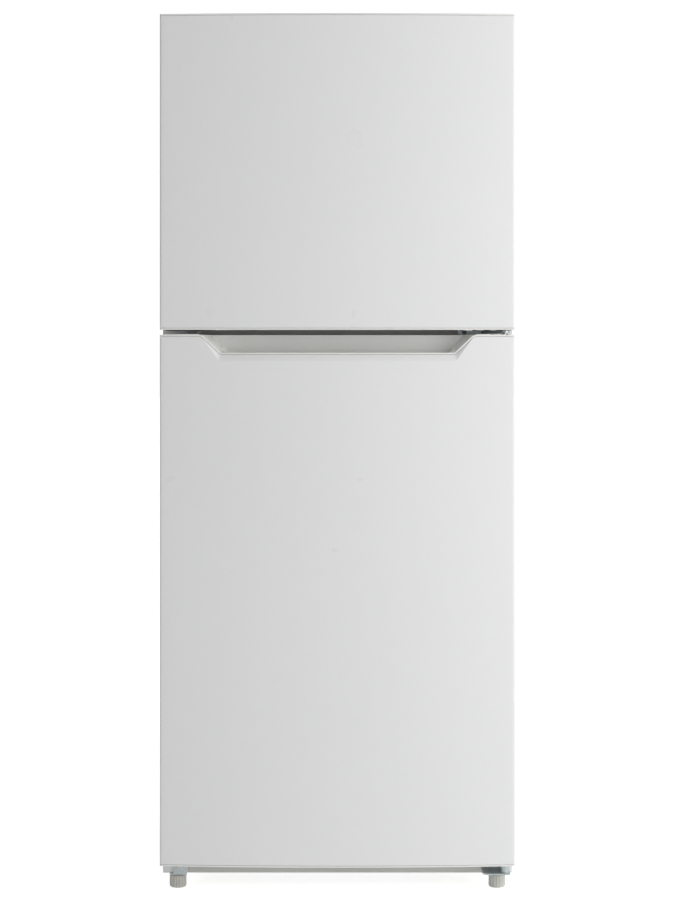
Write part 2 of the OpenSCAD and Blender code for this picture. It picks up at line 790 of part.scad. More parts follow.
// Hollow of the pocket: the mouth, and the trench that the fingers hook down into.
module pocket_hollow(grow) {
    half = mouth_half + [pocket_slope + grow, grow];
    trench_x = mouth_half[1] - 4 + grow;
    mouth_prism(half, [pocket_z, seam_z + 1], [front_y - 1, pocket_back_y + grow]);
    span([-trench_x, lip_y - grow, trench_z - grow], [trench_x, pocket_back_y + grow, pocket_z + 1]);
}

// Outline of the sloped frame round the mouth, where the door front starts to turn in.
module flare_prism(margin, top, y) {
    half = [mouth_half[0] + flare[0] - margin, mouth_half[1] + flare[0] - margin];
    mouth_prism(half, [pocket_z - flare[1] + margin, top], y);
}

// Sloped face between the door front and the pocket's lip.
module lip_bevel() {
    half = mouth_half[1] + 2;
    rotate([90, 0, 90]) translate([0, 0, -half]) linear_extrude(2 * half) polygon([
        [front_y - 1, pocket_z - flare[1]], [front_y, pocket_z - flare[1]],
        [front_y + 4, pocket_z + 0.1], [front_y - 1, pocket_z + 0.1]
    ]);
}

module fridge_door_skin() {
    color(white) difference() {
        door_skin(lower_door);
        flare_prism(0, seam_z, [front_y - 1, edge_y + 10]);
    }
}

module fridge_door_top_cap() {
    z = seam_z;
    color(white) {
        difference() {
            union() {
                door_cap(z, -1);
                bush_block([z - 22, z - cap_t + 0.1]);
                intersection() {
                    door_slab(0, door_back_y - 2, [trench_z - pocket_wall, z]);
                    union() {
                        pocket_hollow(pocket_wall);
                        flare_prism(air, z, [front_y, edge_y + 4]);
                    }
                }
            }
            pocket_hollow(0);
            lip_bevel();
            hinge_bore([z - 17, z + 1]);
        }
        spare_hole_plug([z - 0.5, z + 1]);
    }
}

module fridge_door_bottom_cap() {
    z = lower_door[0];
    color(white) difference() {
        union() {
            door_cap(z, 1);
            bush_block([z + cap_t - 0.1, z + 21]);
        }
        hinge_bore([z - 1, z + 17]);
    }
}

module fridge_door_foam() {
    rear = door_back_y - steel - 0.6;
    main = [lower_door[0] + 22, trench_z - pocket_wall - 1];
    top = seam_z - cap_t - skirt_h - 0.4;
    color(foam_tint) {
        door_slab(steel + 0.5, rear, main);
        for (x = [[-hw, -pocket_w / 2 - 4], [pocket_w / 2 + 4, pivot[0] - 31]])
            intersection() {
                door_slab(steel + 0.5, rear, [main[1] + 0.4, top]);
                span([x[0], front_y, 0], [x[1], 0, seam_z]);
            }
        span([-pocket_w / 2, pocket_back_y + 3, main[1] + 0.4], [pocket_w / 2, rear, top]);
        dike_foam(lower_ring);
    }
}

module fridge_door_liner() {
    color(white) door_liner([lower_door[0] + 8, seam_z - 8], lower_ring, lower_bins);
}

module fridge_door_gasket() {
    color(white) gasket([lower_door[0] + 12, seam_z - 10]);
}

// ---- bins and drawers ----

module freezer_bin_upper() {
    color(clear) door_bin(upper_bins[1]);
}

module freezer_bin_lower() {
    color(clear) door_bin(upper_bins[0]);
}

module fridge_bin_upper() {
    color(clear) door_bin(lower_bins[2]);
}

module fridge_bin_middle() {
    color(clear) door_bin(lower_bins[1]);
}

module fridge_bin_lower() {
    color(clear) door_bin(lower_bins[0]);
}

// Vegetable drawer with a grip lip along its front edge.
module crisper() {
    lo = [drawer_x[0], drawer_y[0], drawer_z[0]];
    hi = [drawer_x[1], drawer_y[1], drawer_z[1]];
    color(clear) {
        difference() {
            tray(lo, hi, 2.5, 3);
            span([lo[0] - 1, lo[1] + 30, hi[2] - 14], [hi[0] + 1, hi[1] + 1, hi[2] + 1]);
        }
        span([lo[0], lo[1] - 8, hi[2] - 10], [hi[0], lo[1] + 0.5, hi[2]]);
    }
}

module crisper_right() {
    crisper();
}

module crisper_left() {
    mirror([1, 0, 0]) crisper();
}

// ---- small moving parts ----

module thermostat_knob() {
    z = housing_z[0];
    color(white) translate([knob_at[0], knob_at[1], 0]) {
        rod_z(0, 0, z - 8, z - 0.4, 17, $fn = 40);
        rod_z(0, 0, z - 1, z + 10, pin_r);
        span([-2.5, -16, z - 13], [2.5, 16, z - 7.9]);
    }
}

module airflow_slider() {
    y = panel_y[0];
    color(grey) translate([slider_at[0], 0, slider_at[1]]) {
        span([-9, y - 3.4, -7], [9, y - 0.4, 7]);
        span([-1.2, y - 6, -7], [1.2, y - 3.3, 7]);
        span([-5, y - 0.5, -2.1], [5, y + 5.5, 2.1]);
        span([-8, y + 4.4, -5], [8, y + 6.4, 5]);
    }
}

module fan_blade() {
    color(white) difference() {
        translate([0, fan_y, fan_z]) {
            rod_y(0, 0, 0, 17, 14);
            for (i = [0 : 4])
                rotate([0, i * 72, 0]) translate([10, 8, 0]) rotate([32, 0, 0])
                    span([0, -1, -15], [38, 1, 15]);
        }
        rod_y(0, fan_z, fan_y - 1, fan_y + 18, 2.06);
    }
}

// Screw-in levelling foot with a fluted grip.
module foot() {
    flutes = 16;
    color(white) {
        difference() {
            union() {
                cylinder(r1 = 12.8, r2 = 14.5, h = 3);
                translate([0, 0, 3]) cylinder(r = 14.5, h = foot_h - 3);
            }
            for (i = [0 : flutes - 1])
                rotate([0, 0, i * 360 / flutes]) span([13.6, -0.8, 4], [16, 0.8, foot_h - 2]);
        }
    }
    color(zinc) rod_z(0, 0, foot_h - 0.1, foot_h + 26, pin_r);
}

module foot_left() {
    translate([-foot_x, foot_y, 0]) foot();
}

module foot_right() {
    translate([foot_x, foot_y, 0]) foot();
}

module roller(x) {
    color(dark) difference() {
        rod_x(roller_at[1], roller_at[2], x - 12, x + 12, roller_at[2]);
        rod_x(roller_at[1], roller_at[2], x - 13, x + 13, bore_r);
    }
}

module roller_left() {
    roller(-roller_at[0]);
}

module roller_right() {
    roller(roller_at[0]);
}

module door_switch_plunger() {
    color(white) rod_y(plunger_at[0], plunger_at[1], dike_y + 0.5, housing_y[0] + 20, 3);
}

outer_shell();
rear_panel();
insulation();
freezer_liner();
fridge_liner();
mullion_rail();
base_rail();
base_tray();
niche_panel();
top_hinge();
top_hinge_cover();
middle_hinge();
bottom_hinge();
left_foot_bracket();
hinge_screws();
hole_plugs();
compressor();
compressor_grommets();
relay_cover();
refrigerant_pipes();
filter_drier();
drip_tray();
condenser_tubes();
evaporator();
defrost_heater();
duct_panel();
fan_motor();
control_housing();
lamp_lens();
lamp_board();
glass_shelves();
shelf_trims();
cord_gland();
freezer_door_skin();
freezer_door_top_cap();
freezer_door_bottom_cap();
freezer_door_foam();
freezer_door_liner();
freezer_door_gasket();
freezer_bin_upper();
freezer_bin_lower();
fridge_door_skin();
fridge_door_top_cap();
fridge_door_bottom_cap();
fridge_door_foam();
fridge_door_liner();
fridge_door_gasket();
fridge_bin_upper();
fridge_bin_middle();
fridge_bin_lower();
crisper_left();
crisper_right();
thermostat_knob();
airflow_slider();
fan_blade();
foot_left();
foot_right();
roller_left();
roller_right();
door_switch_plunger();
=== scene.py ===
"""Top freezer refrigerator: fine shapes, finishes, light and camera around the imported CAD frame."""

import json
import math

import bmesh
import bpy
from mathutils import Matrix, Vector

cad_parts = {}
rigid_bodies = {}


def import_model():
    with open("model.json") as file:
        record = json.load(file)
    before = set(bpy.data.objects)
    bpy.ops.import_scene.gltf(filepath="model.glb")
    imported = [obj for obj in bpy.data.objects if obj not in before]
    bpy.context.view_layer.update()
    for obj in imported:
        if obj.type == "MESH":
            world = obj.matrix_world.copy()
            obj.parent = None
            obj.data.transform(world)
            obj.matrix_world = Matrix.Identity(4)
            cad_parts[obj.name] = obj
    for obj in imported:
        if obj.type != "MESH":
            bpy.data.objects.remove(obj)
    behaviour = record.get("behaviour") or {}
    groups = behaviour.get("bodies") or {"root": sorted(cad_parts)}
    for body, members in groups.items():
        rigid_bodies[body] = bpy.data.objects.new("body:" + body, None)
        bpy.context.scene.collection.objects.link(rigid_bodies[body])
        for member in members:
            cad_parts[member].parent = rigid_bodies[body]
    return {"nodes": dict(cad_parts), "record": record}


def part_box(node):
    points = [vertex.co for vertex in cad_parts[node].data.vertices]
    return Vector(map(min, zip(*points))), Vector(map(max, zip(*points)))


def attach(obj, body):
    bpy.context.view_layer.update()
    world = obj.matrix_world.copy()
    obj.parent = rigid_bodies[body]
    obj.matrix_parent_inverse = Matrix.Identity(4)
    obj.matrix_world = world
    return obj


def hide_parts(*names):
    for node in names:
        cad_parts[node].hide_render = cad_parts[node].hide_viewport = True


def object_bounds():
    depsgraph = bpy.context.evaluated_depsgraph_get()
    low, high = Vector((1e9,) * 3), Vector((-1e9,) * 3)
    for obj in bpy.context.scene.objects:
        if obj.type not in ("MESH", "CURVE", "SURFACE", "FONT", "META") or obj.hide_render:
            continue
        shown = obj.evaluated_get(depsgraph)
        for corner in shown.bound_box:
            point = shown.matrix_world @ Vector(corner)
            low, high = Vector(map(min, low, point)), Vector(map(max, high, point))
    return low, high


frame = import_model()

MM = 0.001
cad_lo, cad_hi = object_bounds()

# ---- places and sizes read from the frame ----

skin_lo, skin_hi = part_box("fridge_door_skin")
upper_lo, upper_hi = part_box("freezer_door_skin")
cabinet_lo, cabinet_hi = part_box("outer_shell")
HALF_W = skin_hi.x
FRONT_Y = skin_lo.y
DOOR_BACK = skin_hi.y
CAP_EDGE = 3 * MM
SEAM_Z = skin_hi.z + CAP_EDGE
LOWER_Z = skin_lo.z - CAP_EDGE
UPPER_Z = upper_lo.z - CAP_EDGE
TOP_Z = upper_hi.z + CAP_EDGE
DOOR_BOW = 12 * MM
BOW_R = (HALF_W ** 2 + DOOR_BOW ** 2) / (2 * DOOR_BOW)
CORNER_R = 3.6 * MM
GROOVE = 0.25 * MM
PIN_X = HALF_W - 16 * MM
PIN_Y = FRONT_Y + DOOR_BOW + 25 * MM

# ---- mesh helpers ----


def build(name, verts, faces, body, material, replaces=None, slot=None, smooth=35, open_sheet=None):
    """Mesh object from points and faces, riding on a body. open_sheet is the way an unclosed mesh faces."""
    mesh = bpy.data.meshes.new(name)
    mesh.from_pydata([tuple(v) for v in verts], [], faces)
    bm = bmesh.new()
    bm.from_mesh(mesh)
    bmesh.ops.remove_doubles(bm, verts=bm.verts, dist=2e-6)
    bmesh.ops.dissolve_degenerate(bm, edges=bm.edges, dist=2e-6)
    bmesh.ops.recalc_face_normals(bm, faces=bm.faces)
    if open_sheet is not None:
        facing = sum(f.calc_area() * f.normal.dot(Vector(open_sheet)) for f in bm.faces)
        if facing < 0:
            bmesh.ops.reverse_faces(bm, faces=bm.faces)
    bm.to_mesh(mesh)
    bm.free()
    obj = bpy.data.objects.new(name, mesh)
    bpy.context.scene.collection.objects.link(obj)
    mesh.materials.append(material)
    soften(mesh, smooth)
    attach(obj, body)
    if replaces:
        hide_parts(*([replaces] if isinstance(replaces, str) else replaces))
    return obj


def body_of(node):
    """The body a node rides on."""
    return frame["nodes"][node].parent.name.split(":")[1]


def soften(mesh, angle):
    """Smooth shading with edges sharper than the angle left crisp."""
    for polygon in mesh.polygons:
        polygon.use_smooth = True
    mesh.set_sharp_from_angle(angle=math.radians(angle))


def grid(rows, closed=False, start=0):
    """Points and quads between successive rows of equal length; closed joins the last row to the first."""
    count = len(rows[0])
    verts = [p for row in rows for p in row]
    faces = []
    last = len(rows) if closed else len(rows) - 1
    for r in range(last):
        a = start + r * count
        b = start + (r + 1) % len(rows) * count
        for c in range(count - 1):
            faces.append((a + c, a + c + 1, b + c + 1, b + c))
    return verts, faces


class Shape:
    """Collects several grids and faces into one mesh."""

    def __init__(self):
        self.verts = []
        self.faces = []

    def add_grid(self, rows, closed=False):
        verts, faces = grid(rows, closed, len(self.verts))
        self.verts += verts
        self.faces += faces

    def add_face(self, points):
        first = len(self.verts)
        self.verts += points
        self.faces.append(tuple(range(first, first + len(points))))

    def add_turned(self, profile, at, axis="z", steps=32, ripple=None):
        """Solid of revolution of (radius, height) pairs round an axis through the point at."""
        rows = []
        for i in range(steps):
            a = 2 * math.pi * i / steps
            row = []
            for radius, height in profile:
                r = radius * (ripple(a, height) if ripple else 1)
                u, v = r * math.cos(a), r * math.sin(a)
                offset = {"z": (u, v, height), "y": (u, height, v), "x": (height, u, v)}[axis]
                row.append(Vector(at) + Vector(offset))
            rows.append(row)
        self.add_grid(rows, closed=True)

    def add_box(self, lo, hi):
        x, y, z = zip(lo, hi)
        first = len(self.verts)
        self.verts += [(x[i], y[j], z[k]) for i in (0, 1) for j in (0, 1) for k in (0, 1)]
        for f in ((0, 1, 3, 2), (4, 6, 7, 5), (0, 4, 5, 1), (2, 3, 7, 6), (0, 2, 6, 4), (1, 5, 7, 3)):
            self.faces.append(tuple(first + i for i in f))

    def build(self, name, body, material, **options):
        return build(name, self.verts, self.faces, body, material, **options)


def add_modifier(obj, kind, name, **values):
    modifier = obj.modifiers.new(name, kind)
    for key, value in values.items():
        setattr(modifier, key, value)
    return modifier


def thicken(obj, thickness):
    add_modifier(obj, "SOLIDIFY", "thickness", thickness=thickness, offset=-1, use_quality_normals=True)


def round_edges(obj, width, angle=40, segments=2):
    add_modifier(obj, "BEVEL", "rounding", width=width, segments=segments, limit_method="ANGLE",
                 angle_limit=math.radians(angle), harden_normals=False, use_clamp_overlap=True)
    add_modifier(obj, "WEIGHTED_NORMAL", "normals", keep_sharp=True)


def polish(node, material, width=0.5 * MM, angle=35, segments=2):
    """Keeps a CAD node's shape, with its long edges rounded and a finish of its own."""
    obj = frame["nodes"][node]
    add_modifier(obj, "WELD", "weld", merge_threshold=2e-6)
    add_modifier(obj, "DECIMATE", "planes", decimate_type="DISSOLVE", angle_limit=math.radians(0.5))
    if width:
        round_edges(obj, width, angle, segments)
    for entry in obj.material_slots:
        entry.material = material
    return obj


def carve(obj, lo, hi):
    """Cuts a box out of a closed mesh for good."""
    cutter = Shape()
    cutter.add_box(lo, hi)
    mesh = bpy.data.meshes.new("cutter")
    mesh.from_pydata([tuple(v) for v in cutter.verts], [], cutter.faces)
    tool = bpy.data.objects.new("cutter", mesh)
    bpy.context.scene.collection.objects.link(tool)
    add_modifier(obj, "BOOLEAN", "cut", operation="DIFFERENCE", object=tool, solver="EXACT")
    bake_modifiers(obj)
    bpy.data.objects.remove(tool)


def touches(face, lo, hi):
    """Whether a face's own box meets the box from lo to hi."""
    for axis in range(3):
        values = [v.co[axis] for v in face.verts]
        if max(values) < lo[axis] or min(values) > hi[axis]:
            return False
    return True


def notch(obj, lo, hi, smooth):
    """Removes the part of an open sheet inside a box, before the sheet is thickened."""
    bm = bmesh.new()
    bm.from_mesh(obj.data)
    for axis in range(3):
        for place in (lo[axis], hi[axis]):
            near = [f for f in bm.faces if touches(f, lo, hi)]
            edges = list(dict.fromkeys(e for f in near for e in f.edges))
            verts = list(dict.fromkeys(v for f in near for v in f.verts))
            normal = Vector([1 if i == axis else 0 for i in range(3)])
            bmesh.ops.bisect_plane(bm, geom=near + edges + verts, plane_co=normal * place, plane_no=normal)
    middles = {f: f.calc_center_median() for f in bm.faces}
    inside = [f for f, c in middles.items() if all(lo[i] < c[i] < hi[i] for i in range(3))]
    bmesh.ops.delete(bm, geom=inside, context="FACES")
    bm.to_mesh(obj.data)
    bm.free()
    soften(obj.data, smooth)


def bake_modifiers(obj):
    """Replaces a new piece's mesh by what its modifiers make of it."""
    graph = bpy.context.evaluated_depsgraph_get()
    mesh = bpy.data.meshes.new_from_object(obj.evaluated_get(graph), depsgraph=graph)
    obj.modifiers.clear()
    obj.data = mesh


def soft_ramp(x, start, end, rise, blends):
    """Straight ramp from 0 at start to rise at end with rounded corners, and its slope."""
    steep = rise / (end - start)
    height = slope = 0.0
    for corner, blend, sign in ((start, blends[0], 1), (end, blends[1], -1)):
        u = x - corner
        if u >= blend:
            height += sign * u
            slope += sign
        elif u > -blend:
            height += sign * (u + blend) ** 2 / (4 * blend)
            slope += sign * (u + blend) / (2 * blend)
    return steep * height, steep * slope


def spread(lo, hi, step):
    """Evenly spaced values from lo to hi, no further apart than step."""
    count = max(1, math.ceil((hi - lo) / step))
    return [lo + (hi - lo) * i / count for i in range(count + 1)]


def smooth_step(x, lo, hi):
    t = min(1, max(0, (x - lo) / (hi - lo)))
    return t * t * (3 - 2 * t)


def lerp(a, b, t):
    return a + (b - a) * t


# ---- finishes ----


class Finish:
    """One procedural material, built from a few measured ingredients in object space."""

    def __init__(self, name, rough, **values):
        self.material = bpy.data.materials.new(name)
        self.material.use_nodes = True
        self.tree = self.material.node_tree
        self.shader = self.tree.nodes["Principled BSDF"]
        self.shader.inputs["Roughness"].default_value = rough
        for key, value in values.items():
            self.shader.inputs[key.replace("_", " ")].default_value = value
        self.coords = self.node("ShaderNodeTexCoord").outputs["Object"]
        self.height = None

    def node(self, kind, **values):
        made = self.tree.nodes.new(kind)
        for key, value in values.items():
            setattr(made, key, value)
        return made

    def link(self, output, target):
        self.tree.links.new(output, target)

    def noise(self, scale, detail=3, rough=0.55, stretch=(1, 1, 1)):
        mapping = self.node("ShaderNodeMapping")
        mapping.inputs["Scale"].default_value = stretch
        self.link(self.coords, mapping.inputs["Vector"])
        noise = self.node("ShaderNodeTexNoise")
        noise.inputs["Scale"].default_value = scale
        noise.inputs["Detail"].default_value = detail
        noise.inputs["Roughness"].default_value = rough
        self.link(mapping.outputs["Vector"], noise.inputs["Vector"])
        return noise.outputs["Fac"]

    def remap(self, value, lo, hi, to_lo=0, to_hi=1):
        ranged = self.node("ShaderNodeMapRange")
        self.link(value, ranged.inputs["Value"])
        for key, number in (("From Min", lo), ("From Max", hi), ("To Min", to_lo), ("To Max", to_hi)):
            ranged.inputs[key].default_value = number
        return ranged.outputs["Result"]

    def math(self, operation, a, b):
        made = self.node("ShaderNodeMath", operation=operation)
        for index, value in enumerate((a, b)):
            if isinstance(value, (int, float)):
                made.inputs[index].default_value = value
            else:
                self.link(value, made.inputs[index])
        return made.outputs["Value"]

    def mix(self, factor, a, b):
        made = self.node("ShaderNodeMix", data_type="RGBA")
        self.link(factor, made.inputs["Factor"])
        for key, colour in (("A", a), ("B", b)):
            target = [i for i in made.inputs if i.name == key and i.type == "RGBA"][0]
            if isinstance(colour, tuple):
                target.default_value = (*colour, 1)
            else:
                self.link(colour, target)
        return [o for o in made.outputs if o.type == "RGBA"][0]

    def colour(self, output):
        self.link(output, self.shader.inputs["Base Color"])

    def roughness(self, output):
        self.link(output, self.shader.inputs["Roughness"])

    def add_height(self, output, amount):
        """Adds a relief, in metres, to the surface's bump."""
        scaled = self.math("MULTIPLY", output, amount)
        self.height = scaled if self.height is None else self.math("ADD", self.height, scaled)

    def finish(self):
        if self.height is not None:
            bump = self.node("ShaderNodeBump")
            bump.inputs["Strength"].default_value = 1
            bump.inputs["Distance"].default_value = 1
            self.link(self.height, bump.inputs["Height"])
            self.link(bump.outputs["Normal"], self.shader.inputs["Normal"])
        return self.material


def finish(name, base, shade, rough, relief=(), patch=6, speck=None, scuff=None, streak=(1, 1, 1), **values):
    """Base colour drifting to a second shade, varied gloss, relief layers and optional specks and scuffs.

    relief is (scale per metre, height in metres) pairs; speck is (scale, amount, colour);
    scuff is (scale, stretch, amount, colour, roughness)."""
    made = Finish(name, rough, **values)
    drift = made.remap(made.noise(patch, 2, 0.4, streak), 0.15, 0.85)
    colour = made.mix(drift, base, shade)
    gloss = made.remap(made.noise(patch * 5, 2, 0.5, streak), 0.15, 0.85, rough * 0.85, rough * 1.2)
    if speck:
        scale, amount, tint = speck
        spots = made.remap(made.noise(scale, 2, 0.5), 1 - amount, 1 - amount * 0.55)
        colour = made.mix(spots, colour, tint)
    if scuff:
        scale, stretch, amount, tint, dull = scuff
        marks = made.remap(made.noise(scale, 5, 0.7, stretch), 1 - amount, 1 - amount * 0.7)
        colour = made.mix(marks, colour, tint)
        gloss = made.math("ADD", gloss, made.math("MULTIPLY", marks, dull))
    made.colour(colour)
    made.roughness(gloss)
    for scale, height in relief:
        made.add_height(made.noise(scale, 2, 0.5, streak), height)
    return made.finish()


def make_finishes():
    """Every material slot's finish by name."""
    return {
        "door_paint": finish("door_paint", (0.80, 0.80, 0.80), (0.785, 0.787, 0.79), 0.3,
                             relief=((700, 0.000006),), patch=2.5, Coat_Weight=0.12, Coat_Roughness=0.2),
        "white_paint": finish("white_paint", (0.79, 0.79, 0.79), (0.765, 0.768, 0.77), 0.38,
                              relief=((700, 0.00001),), patch=2,
                              scuff=(60, (1, 1, 0.1), 0.3, (0.7, 0.7, 0.69), 0.1)),
        "cap_plastic": finish("cap_plastic", (0.82, 0.825, 0.80), (0.79, 0.795, 0.77), 0.42,
                              relief=((2200, 0.000012),), patch=9,
                              scuff=(220, (0.1, 1, 1), 0.3, (0.6, 0.6, 0.57), 0.1)),
        "white_plastic": finish("white_plastic", (0.78, 0.78, 0.765), (0.74, 0.745, 0.73), 0.4,
                                relief=((2200, 0.000014),), patch=12, speck=(900, 0.35, (0.7, 0.7, 0.69))),
        "liner_plastic": finish("liner_plastic", (0.80, 0.815, 0.82), (0.77, 0.79, 0.80), 0.25,
                                relief=((420, 0.00001),), patch=4),
        # Painted shade: the rails are white-painted steel, and this warm grey stands in for the shade they
        # sit in behind the doors; the dark scuffs are real wear.
        "rail_paint": finish("rail_paint", (0.56, 0.565, 0.54), (0.51, 0.515, 0.49), 0.5,
                             relief=((900, 0.00002),), patch=7,
                             scuff=(170, (0.08, 1, 1), 0.32, (0.3, 0.3, 0.28), 0.15)),
        "rear_sheet": finish("rear_sheet", (0.55, 0.56, 0.565), (0.52, 0.53, 0.537), 0.36, Metallic=0.75,
                             relief=((260, 0.00003),), patch=9, speck=(420, 0.36, (0.46, 0.47, 0.48)),
                             scuff=(90, (1, 1, 0.12), 0.3, (0.36, 0.36, 0.35), 0.2)),
        "foam": finish("foam", (0.83, 0.72, 0.45), (0.76, 0.64, 0.37), 0.9,
                       relief=((300, 0.0004), (1300, 0.0001)), patch=20, speck=(260, 0.4, (0.6, 0.48, 0.25))),
        "zinc_steel": finish("zinc_steel", (0.56, 0.61, 0.62), (0.46, 0.51, 0.52), 0.34, Metallic=0.85,
                             relief=((1200, 0.000015),), patch=60, speck=(700, 0.42, (0.38, 0.43, 0.45)),
                             scuff=(240, (0.2, 1, 1), 0.32, (0.3, 0.32, 0.33), 0.2)),
        "screw_steel": finish("screw_steel", (0.12, 0.12, 0.125), (0.07, 0.07, 0.075), 0.3, Metallic=0.9,
                              relief=((2500, 0.00001),), patch=160, speck=(1600, 0.4, (0.25, 0.25, 0.26))),
        "black_paint": finish("black_paint", (0.018, 0.018, 0.02), (0.03, 0.03, 0.032), 0.3,
                              relief=((500, 0.00004),), patch=14, speck=(700, 0.36, (0.08, 0.075, 0.07)),
                              scuff=(70, (1, 1, 0.3), 0.3, (0.12, 0.11, 0.1), 0.3)),
        "black_rubber": finish("black_rubber", (0.022, 0.022, 0.023), (0.04, 0.04, 0.042), 0.7,
                               relief=((1500, 0.00004),), patch=60, speck=(900, 0.36, (0.09, 0.088, 0.085))),
        "black_plastic": finish("black_plastic", (0.03, 0.03, 0.032), (0.045, 0.045, 0.048), 0.5,
                                relief=((1800, 0.00003),), patch=30, speck=(800, 0.34, (0.1, 0.098, 0.095))),
        "copper_tube": finish("copper_tube", (0.72, 0.36, 0.2), (0.5, 0.24, 0.13), 0.32, Metallic=1.0,
                              relief=((900, 0.00002),), patch=50, speck=(500, 0.42, (0.3, 0.14, 0.08)),
                              scuff=(200, (1, 1, 0.2), 0.34, (0.22, 0.13, 0.09), 0.3)),
        "coil_aluminium": finish("coil_aluminium", (0.72, 0.73, 0.74), (0.6, 0.61, 0.63), 0.35, Metallic=0.9,
                                 relief=((900, 0.00002),), patch=40, speck=(600, 0.4, (0.5, 0.51, 0.53))),
        "gasket_rubber": finish("gasket_rubber", (0.66, 0.66, 0.65), (0.6, 0.6, 0.59), 0.55,
                                relief=((1600, 0.00002), (90, 0.00006)), patch=16,
                                speck=(700, 0.36, (0.5, 0.5, 0.49))),
        "grey_plastic": finish("grey_plastic", (0.27, 0.29, 0.32), (0.23, 0.25, 0.28), 0.42,
                               relief=((2000, 0.000015),), patch=40, speck=(900, 0.36, (0.35, 0.37, 0.4))),
        "foot_plastic": finish("foot_plastic", (0.62, 0.61, 0.57), (0.55, 0.54, 0.5), 0.5,
                               relief=((1500, 0.00003),), patch=70, speck=(600, 0.38, (0.4, 0.39, 0.36)),
                               scuff=(260, (1, 1, 0.2), 0.32, (0.35, 0.34, 0.31), 0.2)),
        "board_plastic": finish("board_plastic", (0.7, 0.72, 0.7), (0.6, 0.66, 0.62), 0.5,
                                relief=((1200, 0.00002),), patch=80, speck=(500, 0.4, (0.5, 0.52, 0.48))),
        "clear_plastic": finish("clear_plastic", (0.88, 0.93, 0.95), (0.84, 0.91, 0.94), 0.08,
                                relief=((300, 0.00002),), patch=12, Transmission_Weight=0.9, IOR=1.46,
                                scuff=(180, (1, 1, 0.15), 0.28, (0.8, 0.85, 0.87), 0.25)),
        "frosted_plastic": finish("frosted_plastic", (0.93, 0.95, 0.96), (0.88, 0.91, 0.93), 0.45,
                                  relief=((900, 0.00005),), patch=20, Transmission_Weight=0.6, IOR=1.46),
        "shelf_glass": finish("shelf_glass", (0.86, 0.95, 0.93), (0.82, 0.93, 0.9), 0.04,
                              relief=((40, 0.00002),), patch=6, Transmission_Weight=1.0, IOR=1.5,
                              scuff=(120, (1, 1, 1), 0.27, (0.8, 0.88, 0.86), 0.2)),
    }


FINISH = make_finishes()

# ---- door outline seen from above ----


class Station:
    """One place on a door's outline: where it is, which way it faces and, on the front, its x."""

    def __init__(self, x, y, nx, ny, front=False):
        self.x, self.y, self.nx, self.ny, self.front = x, y, nx, ny, front

    def inset(self, amount):
        return self.x - self.nx * amount, self.y - self.ny * amount


def bow_y(x):
    return FRONT_Y + BOW_R - math.sqrt(BOW_R ** 2 - x * x)


BOW_CENTRE_Y = FRONT_Y + BOW_R
CORNER_X = HALF_W - CORNER_R
CORNER_Y = BOW_CENTRE_Y - math.sqrt((BOW_R - CORNER_R) ** 2 - CORNER_X ** 2)
BOW_ANGLE = math.atan2(CORNER_X, BOW_CENTRE_Y - CORNER_Y)
BOW_END = BOW_R * math.sin(BOW_ANGLE)


def arc(cx, cy, radius, start, end, steps):
    """Stations on an arc; angles are from -Y towards +X, in radians."""
    made = []
    for i in range(steps + 1):
        a = lerp(start, end, i / steps)
        nx, ny = math.sin(a), -math.cos(a)
        made.append(Station(cx + radius * nx, cy + radius * ny, nx, ny))
    return made


def right_side(back_r):
    """Stations from the right front corner back along the side and round the back corner."""
    corner = arc(CORNER_X, CORNER_Y, CORNER_R, BOW_ANGLE, math.pi / 2, 7)[1:]
    side = [Station(HALF_W, y, 1, 0) for y in spread(CORNER_Y, DOOR_BACK - back_r, 12 * MM)][1:-1]
    back = arc(HALF_W - back_r, DOOR_BACK - back_r, back_r, math.pi / 2, math.pi, 4)
    return corner + side + back


def front(xs):
    made = []
    for x in xs:
        a = math.asin(x / BOW_R)
        made.append(Station(x, bow_y(x), math.sin(a), -math.cos(a), front=True))
    return made


def mirrored(stations):
    return [Station(-s.x, s.y, -s.nx, s.ny, s.front) for s in reversed(stations)]


# ---- finger pocket in the lower door ----

MOUTH = (197.5 * MM, 229 * MM)
MOUTH_H = 30 * MM
MOUTH_BLENDS = (2.6 * MM, 4 * MM)
LIP_Z = SEAM_Z - MOUTH_H
FLARE = (200.3 * MM, 231.5 * MM)
FLARE_DROP = 44 * MM
FLARE_BLENDS = (1.5 * MM, 1.5 * MM)
SETBACK = 3.6 * MM
POCKET_BACK = FRONT_Y + DOOR_BOW + 29 * MM
LIP_BACK = FRONT_Y + 13 * MM
TRENCH_Z = LIP_Z - 18 * MM
WALL_REACH = 10 * MM


def mouth(x):
    """Height and slope of the pocket's mouth at x, and how far its rim is set back there."""
    rise, slope = soft_ramp(abs(x), *MOUTH, MOUTH_H, MOUTH_BLENDS)
    return LIP_Z + rise, math.copysign(slope, x), SETBACK * (1 - rise / MOUTH_H)


def rim_point(x, distance):
    """The point on the front face at a distance outside the mouth's edge, and its set-back."""
    z, slope, setback = mouth(x)
    size = math.hypot(slope, 1)
    return x + distance * slope / size, z - distance / size, setback


def front_xs():
    """Positions across a door's front, closer together where the pocket's corners are."""
    xs = spread(0, MOUTH[0] - 24 * MM, 9 * MM)
    xs += spread(MOUTH[0] - 24 * MM, MOUTH[0] - 5 * MM, 2 * MM)[1:]
    xs += spread(MOUTH[0] - 5 * MM, MOUTH[1] + 6 * MM, 0.8 * MM)[1:]
    xs += spread(MOUTH[1] + 6 * MM, BOW_END, 8 * MM)[1:]
    return [-x for x in reversed(xs[1:])] + xs


# ---- door skins ----

FOLD_W = 12 * MM
SHEET = 0.8 * MM


